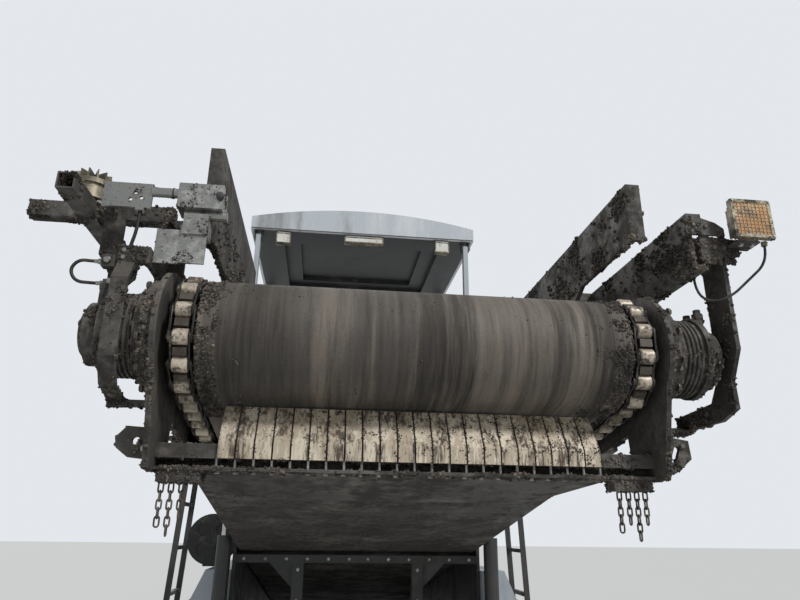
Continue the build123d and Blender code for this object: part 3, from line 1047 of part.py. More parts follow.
# Hopper: fixed side boxes with ribs, folding wings with ribs, front flap
WING_X = 950.0
WING_Z = 950.0
HINGE_R = 20.0
HINGE_PIN_R = 10.0
FLAP_REACH = 66.0
FLAP_Y = HOPPER_FRONT + FLAP_REACH
FLAP_Z = 650.0
BOX_OUT = 875.0
BOX_LOW = 420.0
BOX_TOP = (860.0, 900.0)
BOX_T = 8.0
RIB_OUT = 915.0
HOPPER_RIBS = 6
HOPPER_RIB_T = 12.0
HANGER_T = 14.5
rib_step = (HOPPER_FRONT - HOPPER_REAR - HOPPER_RIB_T) / (HOPPER_RIBS - 1)
with BuildPart() as hopper_base:
    for name, side in SIDES:
        box_outline = [(WALL_OUT, BOX_LOW), (BOX_OUT, BOX_LOW), (BOX_OUT, BOX_TOP[1]), (WALL_OUT, BOX_TOP[0])]
        hollow = [(WALL_OUT, BOX_LOW + BOX_T), (BOX_OUT - BOX_T, BOX_LOW + BOX_T),
                  (BOX_OUT - BOX_T, BOX_TOP[1] - 4 * BOX_T), (WALL_OUT, BOX_TOP[0] - 2 * BOX_T)]
        rear_profile([(side * x, z) for x, z in box_outline], (HOPPER_REAR, HOPPER_FRONT))
        rear_profile([(side * x, z) for x, z in hollow], (HOPPER_REAR + BOX_T, HOPPER_FRONT - BOX_T), Mode.SUBTRACT)
        rib_outline = [(BOX_OUT - 1, BOX_LOW + 30), (RIB_OUT, BOX_LOW + 90), (RIB_OUT, BOX_TOP[1] - 30),
                       (BOX_OUT - 1, BOX_TOP[1])]
        for rib in range(HOPPER_RIBS):
            y = HOPPER_REAR + rib_step * rib
            rear_profile([(side * x, z) for x, z in rib_outline], (y, y + HOPPER_RIB_T))
        block(across(side, WALL_OUT, 1050), (HOUSE_FRONT + 20, HOUSE_FRONT + 35), (760, HOUSE_LOW - 100))
        block(across(side, WALL_OUT, 910), (HOUSE_FRONT + 20, HOUSE_FRONT + 35), (BOX_LOW, 760))
        block(across(side, WALL_OUT, BOX_OUT), (HOUSE_FRONT + 35, HOPPER_REAR), (BOX_LOW, BOX_LOW + 140))
        for low in (HOPPER_REAR, HOPPER_FRONT - HANGER_T):
            block(across(side, BOX_OUT - 15, WING_X + 35), (low, low + HANGER_T), (820, WING_Z + 35))
        for near, far in ((HOPPER_REAR, HOPPER_REAR + 60), (HOPPER_FRONT - 60, HOPPER_FRONT)):
            bar((side * WING_X, near, WING_Z), (side * WING_X, far, WING_Z), HINGE_PIN_R)
        block(across(side, 880.5, 900), (HOPPER_FRONT - 1, FLAP_Y + 26), (FLAP_Z - 30, FLAP_Z + 30))
        wheel(across(side, 840, 900), FLAP_Y, FLAP_Z, HINGE_PIN_R)
finish(hopper_base, "hopper_base")

WING_RIB_FAR = 40.0
WING_RIBS = 5
WING_OUTLINE = ((-8, 0), (-8, 505), (-300, 850), (-290, 858), (5, 512), (5, 0))
WING_RIB_OUTLINE = ((4, 50), (WING_RIB_FAR, 90), (WING_RIB_FAR, 490), (4, 560), (-160, 770), (-240, 800),
                    (-200, 750), (4, 508))
for name, side in SIDES:
    with BuildPart() as wing:
        ends = (HOPPER_REAR + 15, HOPPER_FRONT - 15)
        outline = [(side * (WING_X + x), WING_Z + z) for x, z in WING_OUTLINE]
        rear_profile(outline, ends)
        ribbed = [(side * (WING_X + x), WING_Z + z) for x, z in WING_RIB_OUTLINE]
        for rib in range(WING_RIBS):
            y = ends[0] + 60 + (ends[1] - ends[0] - 120 - HOPPER_RIB_T) * rib / (WING_RIBS - 1)
            rear_profile(ribbed, (y, y + HOPPER_RIB_T))
        bar((side * WING_X, ends[0], WING_Z), (side * WING_X, ends[1], WING_Z), HINGE_R)
        bar((side * WING_X, ends[0], WING_Z), (side * WING_X, ends[0] + 50, WING_Z), HINGE_PIN_R + PIN_FIT,
            Mode.SUBTRACT)
        bar((side * WING_X, ends[1] - 50, WING_Z), (side * WING_X, ends[1], WING_Z), HINGE_PIN_R + PIN_FIT,
            Mode.SUBTRACT)
    finish(wing, f"hopper_wing_{name}")

with BuildPart() as hopper_flap:
    block((-880, 880), (FLAP_Y - 6, FLAP_Y + 6), (FLAP_Z, 1000))
    for x in (-640, -220, 200, 620):
        block((x, x + 20), (FLAP_Y + 5, FLAP_Y + 26), (FLAP_Z + 40, 990))
    wheel((-880, 880), FLAP_Y, FLAP_Z, HINGE_R)
    for name, side in SIDES:
        wheel(across(side, 835, 880), FLAP_Y, FLAP_Z, HINGE_PIN_R + PIN_FIT, Mode.SUBTRACT)
finish(hopper_flap, "hopper_flap")

# Push beam on its centre pin, with two rollers
PUSH_Y = HOPPER_FRONT + PUSH_REACH
BEAM_HALF = 1000.0
BEAM_REAR = BEAM_PIN_REACH + 60
BEAM_FRONT = PUSH_REACH - PUSH_R - 5
BEAM_LOW = 450.0
BEAM_HIGH = 590.0
SOCKET_HALF = 65.0
SOCKET_REAR = BEAM_PIN_REACH - 55
EAR_NEAR = 100.0
EAR_FAR = 908.0
ROLLER_EAR_T = 12.0
ROLLER_EAR_HALF = 47.0
AXLE_R = 25.0
AXLE_END = 5.0
with BuildPart() as push_beam:
    block((-BEAM_HALF, BEAM_HALF), (HOPPER_FRONT + BEAM_REAR, HOPPER_FRONT + BEAM_FRONT), (BEAM_LOW, BEAM_HIGH))
    block((-SOCKET_HALF, SOCKET_HALF), (HOPPER_FRONT + SOCKET_REAR, HOPPER_FRONT + BEAM_REAR),
          (FORK_LOW + FORK_T + SEAT_GAP, FORK_HIGH - SEAT_GAP))
    bar((0, HOPPER_FRONT + BEAM_PIN_REACH, FORK_LOW), (0, HOPPER_FRONT + BEAM_PIN_REACH, FORK_HIGH + FORK_T),
        BEAM_PIN_R + PIN_FIT, Mode.SUBTRACT)
    for name, side in SIDES:
        for near in (EAR_NEAR, EAR_FAR):
            ear = across(side, near, near + ROLLER_EAR_T)
            block(ear, (HOPPER_FRONT + BEAM_FRONT, PUSH_Y + AXLE_R + 5),
                  (PUSH_Z - ROLLER_EAR_HALF, PUSH_Z + ROLLER_EAR_HALF))
            wheel(ear, PUSH_Y, PUSH_Z, AXLE_R + PIN_FIT, Mode.SUBTRACT)
finish(push_beam, "push_beam")

for name, side in SIDES:
    with BuildPart() as push_roller:
        wheel(across(side, EAR_NEAR + ROLLER_EAR_T + 5, EAR_FAR - 5), PUSH_Y, PUSH_Z, PUSH_R)
        wheel(across(side, EAR_NEAR - AXLE_END, EAR_FAR + ROLLER_EAR_T + AXLE_END), PUSH_Y, PUSH_Z, AXLE_R)
    finish(push_roller, f"push_roller_{name}")
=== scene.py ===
"""Looks of a tracked material transfer vehicle: finishes, crusts, cords, fittings, seats and studio.

X is right, Y forward to the hopper, Z up and the ground at Z = 0. The discharge head is at the -Y end, where
the camera stands. Lengths are metres, except where a docstring or a name says millimetres.
"""

import logging
import math
from dataclasses import dataclass
from enum import Enum
from typing import Iterable, Optional, Sequence

import bmesh
import bpy
import numpy
from mathutils import Matrix, Vector, noise


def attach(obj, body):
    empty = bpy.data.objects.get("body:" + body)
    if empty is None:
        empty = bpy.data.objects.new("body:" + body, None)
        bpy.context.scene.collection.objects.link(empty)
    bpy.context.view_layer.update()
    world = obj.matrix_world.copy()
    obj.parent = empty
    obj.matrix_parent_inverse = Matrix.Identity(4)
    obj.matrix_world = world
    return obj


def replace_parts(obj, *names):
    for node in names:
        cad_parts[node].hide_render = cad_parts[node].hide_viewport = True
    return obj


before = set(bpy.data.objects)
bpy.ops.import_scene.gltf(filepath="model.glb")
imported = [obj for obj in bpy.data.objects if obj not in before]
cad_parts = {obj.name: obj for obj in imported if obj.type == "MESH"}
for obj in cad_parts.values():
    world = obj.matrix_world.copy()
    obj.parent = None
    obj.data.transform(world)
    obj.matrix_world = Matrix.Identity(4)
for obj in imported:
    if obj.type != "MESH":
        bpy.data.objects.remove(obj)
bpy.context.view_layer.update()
LOG = logging.getLogger("transfer_vehicle")

Point = Sequence[float]
Socket = bpy.types.NodeSocket
SIDES = (("left", -1), ("right", 1))

# Head shaft and tail shaft of the conveyor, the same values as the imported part's
HEAD_Y = -4.225
HEAD_Z = 2.017
TAIL_Y = 3.075
TAIL_Z = 0.730
RUN_LENGTH = math.hypot(TAIL_Y - HEAD_Y, HEAD_Z - TAIL_Z)
RUN_COS = (TAIL_Y - HEAD_Y) / RUN_LENGTH
RUN_SIN = (HEAD_Z - TAIL_Z) / RUN_LENGTH


def linear(hex_colour: str) -> tuple[float, float, float, float]:
    """Turn an sRGB hex colour into linear light.

    Args:
        hex_colour: Six hex digits after a hash sign.

    Returns:
        Red, green, blue and alpha for a shader socket.
    """
    values = [int(hex_colour[place:place + 2], 16) / 255 for place in (1, 3, 5)]
    bright = [v / 12.92 if v <= 0.04045 else ((v + 0.055) / 1.055) ** 2.4 for v in values]
    return (*bright, 1.0)


def feed(tree: bpy.types.NodeTree, node: bpy.types.Node, inputs: dict) -> None:
    """Set a node's inputs.

    Args:
        tree: The tree that holds the node.
        node: The node.
        inputs: Values, or sockets to link from, by input name or number.
    """
    for key, value in inputs.items():
        if isinstance(value, Socket):
            tree.links.new(value, node.inputs[key])
        else:
            node.inputs[key].default_value = value


def add_node(tree: bpy.types.NodeTree, kind: str, out: str, inputs: Optional[dict] = None,
             **settings: object) -> Socket:
    """Add one shader node with its settings and links.

    Args:
        tree: The tree that gets the node.
        kind: The node's type name after ShaderNode.
        out: Name of the output that is used.
        inputs: Values, or sockets to link from, by input name or number.
        settings: Values for the node's attributes.

    Returns:
        That output.
    """
    node = tree.nodes.new(f"ShaderNode{kind}")
    for name, value in settings.items():
        setattr(node, name, value)
    feed(tree, node, inputs or {})
    return node.outputs[out]


class Streak(Enum):
    """How a pattern is drawn out, as its scale along X, Y and Z."""

    NONE = (1.0, 1.0, 1.0)
    ALONG_TRAVEL = (1.0, 0.06, 0.06)
    RUN_OFF = (1.0, 1.0, 0.16)


DUST = "#8f887d"


@dataclass(frozen=True)
class Finish:
    """A real material, how its surface was made and what lies on it.

    Shares run from 0 to 1. Patch, grain, relief and edge are real sizes in millimetres, and soft is the width
    of the patches' borders in noise height.
    """

    name: str
    base: str
    worn: str
    dirt: str
    metallic: float = 0.0
    roughness: float = 0.5
    worn_share: float = 0.3
    dirt_share: float = 0.35
    patch_mm: float = 60.0
    grain_mm: float = 3.0
    relief_mm: float = 0.2
    streak: Streak = Streak.NONE
    edge_mm: float = 0.0
    coat: float = 0.0
    soft: float = 0.2
    dust: float = 0.0

    def patches(self, tree: bpy.types.NodeTree, place: Socket, size_mm: float, share: float) -> Socket:
        """Add cloudy patches.

        Args:
            tree: The material's nodes.
            place: Pattern coordinates in metres.
            size_mm: Size of the patches.
            share: Share of the surface that they cover.

        Returns:
            The mask of the patches.
        """
        fine = add_node(tree, "TexNoise", "Fac", {
            "Vector": place, "Scale": 1000 / size_mm, "Detail": 9.0, "Roughness": 0.7})
        broad = add_node(tree, "TexNoise", "Fac", {
            "Vector": place, "Scale": 190 / size_mm, "Detail": 3.0, "Roughness": 0.55})
        both = add_node(tree, "Math", "Value", {0: broad, 1: 0.9, 2: fine}, operation="MULTIPLY_ADD")
        start = 0.95 + 0.5 * (0.5 - share) - self.soft / 2
        return add_node(tree, "MapRange", "Result", {
            "Value": both, "From Min": start, "From Max": start + self.soft}, interpolation_type="SMOOTHSTEP")

    def with_edges(self, tree: bpy.types.NodeTree, worn: Socket) -> Socket:
        """Add the rubbed edges to a mask.

        Args:
            tree: The material's nodes.
            worn: Mask of the worn patches.

        Returns:
            The mask of the patches and the edges.
        """
        rounded = add_node(tree, "Bevel", "Normal", {"Radius": self.edge_mm / 1000}, samples=4)
        flat = add_node(tree, "NewGeometry", "Normal")
        facing = add_node(tree, "VectorMath", "Value", {0: rounded, 1: flat}, operation="DOT_PRODUCT")
        edge = add_node(tree, "MapRange", "Result", {"Value": facing, "From Min": 0.99, "From Max": 0.88})
        return add_node(tree, "Math", "Value", {0: worn, 1: edge}, operation="MAXIMUM")

    def lying_dust(self, tree: bpy.types.NodeTree, place: Socket) -> Socket:
        """Add a mask of the dust that lies on what faces up.

        Args:
            tree: The material's nodes.
            place: Pattern coordinates in metres.

        Returns:
            The mask.
        """
        facing = add_node(tree, "SeparateXYZ", "Z", {0: add_node(tree, "NewGeometry", "Normal")})
        up = add_node(tree, "MapRange", "Result", {
            "Value": facing, "From Min": -0.25, "From Max": 0.95, "To Max": 2 * self.dust})
        cloud = add_node(tree, "TexNoise", "Fac", {"Vector": place, "Scale": 9.0, "Detail": 8.0})
        return add_node(tree, "Math", "Value", {0: up, 1: cloud}, operation="MULTIPLY")

    def material(self) -> bpy.types.Material:
        """Build the procedural material, once.

        Returns:
            The material that carries this finish's name.
        """
        made = bpy.data.materials.get(self.name)
        if made:
            return made
        made = bpy.data.materials.new(self.name)
        made.use_nodes = True
        tree = made.node_tree
        place = add_node(tree, "TexCoord", "Object")
        drawn = add_node(tree, "Mapping", "Vector", {"Vector": place, "Scale": self.streak.value})
        shifted = add_node(tree, "Mapping", "Vector", {"Vector": drawn, "Location": (3.1, 7.7, 5.3)})
        grain = add_node(tree, "TexNoise", "Fac", {
            "Vector": place, "Scale": 1000 / self.grain_mm, "Detail": 3.0, "Roughness": 0.6})
        worn = self.patches(tree, drawn, self.patch_mm, self.worn_share)
        dirt = self.patches(tree, shifted, self.patch_mm * 0.6, self.dirt_share)
        if self.edge_mm:
            worn = self.with_edges(tree, worn)
        layers = [(worn, self.worn), (dirt, self.dirt)]
        if self.dust:
            layers.append((self.lying_dust(tree, place), DUST))
        colour = linear(self.base)
        for mask, over in layers:
            colour = add_node(tree, "Mix", "Result", {"Factor": mask, "A": colour, "B": linear(over)},
                              data_type="RGBA")
        speck = add_node(tree, "MapRange", "Result", {
            "Value": grain, "From Min": 0.25, "From Max": 0.75, "To Min": 0.78, "To Max": 1.18})
        colour = add_node(tree, "Mix", "Result", {"Factor": 1.0, "A": colour, "B": speck}, data_type="RGBA",
                          blend_type="MULTIPLY")
        shader = {"Base Color": colour, "Coat Weight": self.coat}
        shader["Normal"] = add_node(tree, "Bump", "Normal", {
            "Height": grain, "Distance": self.relief_mm / 1000, "Strength": 1.0})
        shader["Roughness"] = add_node(tree, "MapRange", "Result", {
            "Value": dirt, "To Min": self.roughness, "To Max": min(0.95, self.roughness + 0.35)})
        if self.metallic:
            shader["Metallic"] = add_node(tree, "MapRange", "Result", {
                "Value": dirt, "To Min": self.metallic, "To Max": 0.0})
        feed(tree, tree.nodes["Principled BSDF"], shader)
        return made


# Matt warm grey rubber with scuffs drawn out along its travel: the eye reads a belt that runs
BELT = Finish("belt_rubber_vulcanised", "#47423d", "#70675d", "#322e2a", roughness=0.66, worn_share=0.36,
              dirt_share=0.45, grain_mm=4, relief_mm=0.6, streak=Streak.ALONG_TRAVEL, soft=0.3, dust=0.15)
# Dry grey binder with pale stone faces: the eye reads crumbs of asphalt that stuck while hot
CRUST = Finish("asphalt_crust_dried", "#3f3a35", "#7b7065", "#26231f", roughness=0.8, worn_share=0.35,
               dirt_share=0.45, patch_mm=20, grain_mm=2.5, relief_mm=0.8, dust=0.25)
# Ochre steel scoured bright in run-off streaks: the eye reads fingers that rub against stone
SCRAPER = Finish("wear_steel_scoured", "#b3a590", "#d6cab6", "#54483d", metallic=0.25, worn_share=0.45,
                 dirt_share=0.36, patch_mm=13, grain_mm=2.5, relief_mm=0.4, streak=Streak.RUN_OFF, soft=0.22)
# Dull dark enamel under fine crust with paler rubbed edges: the eye reads years beside hot mix
FRAME_PAINT = Finish("enamel_grey_crusted", "#423f3c", "#6a645d", "#2c2926", roughness=0.6, dirt_share=0.45,
                     relief_mm=1.0, edge_mm=3.0, soft=0.3, dust=0.3)
# Even dark spray coat, half gloss, with dust on what faces up: the eye reads plain steelwork
DARK_PAINT = Finish("enamel_black_grey_sprayed", "#26282b", "#404244", "#35322f", roughness=0.42,
                    worn_share=0.15, patch_mm=200, relief_mm=0.12, edge_mm=2.5, soft=0.3, dust=0.22)
# Smooth silver grey with faint rain streaks and worn edges: the eye reads large painted sheets
BODY_PAINT = Finish("enamel_silver_grey_sprayed", "#9aa3ab", "#adb4ba", "#6f6c67", roughness=0.34,
                    dirt_share=0.16, patch_mm=260, relief_mm=0.06, streak=Streak.RUN_OFF, edge_mm=2.0,
                    coat=0.25, soft=0.35, dust=0.15)
# Dark oily metal with bright rubbed edges: the eye reads pressed link plates
CHAIN = Finish("chain_steel_oiled", "#2c2927", "#6b655c", "#1b1918", metallic=0.7, roughness=0.38,
               dirt_share=0.4, patch_mm=30, grain_mm=2, edge_mm=1.6)
# Pale stone dust over rolled steel: the eye reads rollers that turn through the mix
ROLLER = Finish("roller_steel_dusted", "#a99c8a", "#cdc1ae", "#4a423a", metallic=0.25, roughness=0.45,
                worn_share=0.45, patch_mm=18, grain_mm=2, relief_mm=0.3, soft=0.25)
# Brown mill scale with a dull shine: the eye reads hot-rolled steel left bare outdoors
BARE_STEEL = Finish("steel_rolled_rusted", "#544e48", "#7d766c", "#3b3029", metallic=0.5, dirt_share=0.4,
                    patch_mm=50, grain_mm=2.5, edge_mm=2.0, soft=0.3, dust=0.2)
# Mirror shine with a few dull smears: the eye reads a ground piston rod
CHROME = Finish("chromium_plated_ground", "#c9cacb", "#dcdddd", "#5a554f", metallic=1.0, roughness=0.12,
                worn_share=0.2, dirt_share=0.12, grain_mm=2, relief_mm=0.02)
# Soft grey metal shine with little grain: the eye reads plated fasteners and fittings
ZINC = Finish("zinc_plated_passivated", "#9c9c98", "#c4c3bd", "#57524b", metallic=0.85, roughness=0.36,
              dirt_share=0.25, patch_mm=30, grain_mm=2, relief_mm=0.05)
# Dull black with dust packed into its face: the eye reads track pads that press on the road
PAD_RUBBER = Finish("polyurethane_pad_cast", "#2b2b2c", "#4c4844", "#5f584f", roughness=0.7, relief_mm=0.4,
                    soft=0.35, dust=0.35)
# Near black with a low sheen and dusty patches: the eye reads extruded hose and cable
HOSE = Finish("hose_rubber_extruded", "#1b1b1c", "#3a3937", "#57514a", worn_share=0.2, dirt_share=0.2,
              patch_mm=50, grain_mm=1.5, relief_mm=0.15)
# Very smooth pale gelcoat with a clear gloss: the eye reads a moulded glass-fibre roof
SHELL = Finish("glass_fibre_gelcoated", "#bcc2c7", "#d3d6d8", "#8d8f8f", roughness=0.16, worn_share=0.2,
               dirt_share=0.12, patch_mm=400, grain_mm=4, relief_mm=0.02, streak=Streak.RUN_OFF, coat=0.6)
# Fine matt grain on dark plastic: the eye reads a formed lining against the hard shell
LINING = Finish("abs_sheet_vacuum_formed", "#2d2e30", "#3d3e40", "#504c47", roughness=0.48, worn_share=0.2,
                dirt_share=0.15, patch_mm=300, grain_mm=1.2, relief_mm=0.12)
# Fine leather-like grain with a soft sheen: the eye reads a wiped seat cover
VINYL = Finish("vinyl_grained", "#1d1d1f", "#323233", "#4a4640", roughness=0.46, worn_share=0.2,
               dirt_share=0.12, patch_mm=120, grain_mm=1.4, relief_mm=0.18)
# Dusty cast grey with brighter corners: the eye reads a die-cast lamp housing
LAMP_BODY = Finish("aluminium_die_cast_dusted", "#6b6456", "#a49a85", "#3c3832", metallic=0.4,
                   worn_share=0.4, patch_mm=30, grain_mm=2, edge_mm=1.5)
# Warm clouded plastic under a clear face: the eye reads a dusty amber lens
AMBER_LENS = Finish("polycarbonate_lens_amber", "#bf9566", "#dcc19a", "#75624c", roughness=0.2,
                    worn_share=0.4, dirt_share=0.25, patch_mm=40, grain_mm=2, relief_mm=0.05, coat=0.6)
# Pale plastic with sharp highlights: the eye reads a clean ribbed lens
CLEAR_LENS = Finish("polycarbonate_lens_clear", "#dcdad2", "#ecebe6", "#8b8579", roughness=0.12,
                    worn_share=0.4, dirt_share=0.2, patch_mm=40, grain_mm=2, relief_mm=0.04, coat=0.8)
# Bright rubbed tops on dark steel: the eye reads tread that boots have polished
DECK_STEEL = Finish("steel_tread_rolled", "#3b3c3d", "#85827b", "#56524b", metallic=0.5, roughness=0.42,
                    worn_share=0.4, dirt_share=0.3, patch_mm=180, relief_mm=0.1)
# Brown steel scoured down the slope: the eye reads a wear plate that mix slides over
HOPPER_STEEL = Finish("wear_plate_hot_rolled", "#57524c", "#8b857b", "#2e2a27", metallic=0.55, roughness=0.45,
                      worn_share=0.45, dirt_share=0.5, patch_mm=90, relief_mm=0.3, soft=0.35,
                      streak=Streak.RUN_OFF, dust=0.2)

NODE_FINISHES = {
    DARK_PAINT: "chassis_frame undercarriages deck steps seat_frame_left seat_frame_right push_beam lift_barrels",
    BODY_PAINT: "side_hoods guard_rails engine_housing hopper_base engine_door_left engine_door_right "
                "roof_posts_rear roof_posts_front hopper_wing_left hopper_wing_right hopper_flap",
    FRAME_PAINT: "conveyor_frame drive_motors side_guides scraper_beam arm_right arm_left",
    BARE_STEEL: "engine_block push_roller_left push_roller_right conveyor_shafts",
    PAD_RUBBER: "track_left track_right",
    HOSE: "hose_reel hose_loop hose_drop lamp_cable",
    VINYL: "seat_cushions_left seat_cushions_right",
    LAMP_BODY: "work_lamp round_lamp roof_lamps",
    CHAIN: "conveyor_chains hanging_chains",
    SHELL: "roof_shell", LINING: "roof_lining", BELT: "conveyor_belt", SCRAPER: "scraper_fingers",
    ZINC: "sensor_unit", CHROME: "lift_rods",
}


def dress_nodes() -> None:
    """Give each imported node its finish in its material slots."""
    for finish, names in NODE_FINISHES.items():
        for name in names.split():
            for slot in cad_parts[name].material_slots:
                slot.material = finish.material()
            LOG.info("node %s: %s", name, finish.name)


def place_object(name: str, data: Optional[bpy.types.ID]) -> bpy.types.Object:
    """Make an object in the scene.

    Args:
        name: The object's name.
        data: Its mesh, curve, lamp or camera.

    Returns:
        The new object.
    """
    made = bpy.data.objects.new(name, data)
    bpy.context.scene.collection.objects.link(made)
    return made


@dataclass(frozen=True)
class Studio:
    """Pale floor, soft lamps and the camera at the photograph's place."""

    camera_at: tuple = (-0.260, -6.089, 1.5)
    yaw_deg: float = 6.54
    pitch_deg: float = 19.66
    roll_deg: float = -0.72
    focal_px: float = 640.0
    image_px: float = 800.0
    floor_half: float = 60.0
    suns: tuple = (("key_sun", (-0.45, 0.62, -0.64), 2.0, 9.0), ("fill_sun", (0.35, -0.75, -0.56), 0.7, 40.0))

    def camera(self) -> None:
        """Place the camera that was fitted to the photograph and make it the scene's."""
        data = bpy.data.cameras.new("photo_camera")
        data.sensor_width = 36.0
        data.lens = self.focal_px / self.image_px * data.sensor_width
        data.clip_start, data.clip_end = 0.05, 500.0
        camera = place_object("photo_camera", data)
        turn = (Matrix.Rotation(-math.radians(self.yaw_deg), 4, "Z")
                @ Matrix.Rotation(math.radians(90 + self.pitch_deg), 4, "X")
                @ Matrix.Rotation(-math.radians(self.roll_deg), 4, "Z"))
        camera.matrix_world = Matrix.Translation(self.camera_at) @ turn
        bpy.context.scene.camera = camera

    def lights(self) -> None:
        """Add an even pale world, which the camera sees as near white, and two distant soft lamps."""
        world = bpy.data.worlds.new("studio_world")
        world.use_nodes = True
        tree = world.node_tree
        strength = add_node(tree, "MapRange", "Result", {
            "Value": add_node(tree, "LightPath", "Is Camera Ray"), "To Min": 0.55, "To Max": 0.95})
        feed(tree, tree.nodes["Background"], {"Color": linear("#e9edf2"), "Strength": strength})
        bpy.context.scene.world = world
        for name, toward, energy, width_deg in self.suns:
            data = bpy.data.lights.new(name, "SUN")
            data.energy, data.angle = energy, math.radians(width_deg)
            place_object(name, data).rotation_euler = Vector(toward).to_track_quat("-Z", "Y").to_euler()

    def floor(self) -> None:
        """Lay the pale floor."""
        half = self.floor_half
        mesh = bpy.data.meshes.new("studio_floor")
        mesh.from_pydata([(-half, -half, 0), (half, -half, 0), (half, half, 0), (-half, half, 0)], [],
                         [(0, 1, 2, 3)])
        paper = bpy.data.materials.new("backdrop_paper_matt")
        paper.use_nodes = True
        feed(paper.node_tree, paper.node_tree.nodes["Principled BSDF"], {
            "Base Color": linear("#cbcbc8"), "Roughness": 0.95})
        mesh.materials.append(paper)
        place_object("studio_floor", mesh)

    def build(self) -> None:
        """Set up everything around the machine."""
        self.camera()
        self.lights()
        self.floor()
        bpy.context.scene.view_settings.view_transform = "Standard"


def from_head(x: float, y: float, z: float) -> Vector:
    """Turn millimetres from the middle of the head shaft into the machine's frame."""
    return Vector((x / 1000, HEAD_Y + y / 1000, HEAD_Z + z / 1000))


def on_run(along: float, above: float) -> tuple[float, float]:
    """Machine (y, z) of a point down the conveyor from the head shaft and square above its line."""
    return (HEAD_Y + along * RUN_COS + above * RUN_SIN, HEAD_Z - along * RUN_SIN + above * RUN_COS)


def ring(middle: Vector, across: Vector, axis: Vector, radius: float, sides: int) -> list[Vector]:
    """Space points evenly round an axis.

    Args:
        middle: Middle of the ring.
        across: Direction to the first point.
        axis: The axis' direction.
        radius: Radius of the ring.
        sides: How many points.

    Returns:
        The points.
    """
    across = across.normalized()
    third = axis.cross(across)
    return [middle + (across * math.cos(angle) + third * math.sin(angle)) * radius
            for angle in (2 * math.pi * side / sides for side in range(sides))]


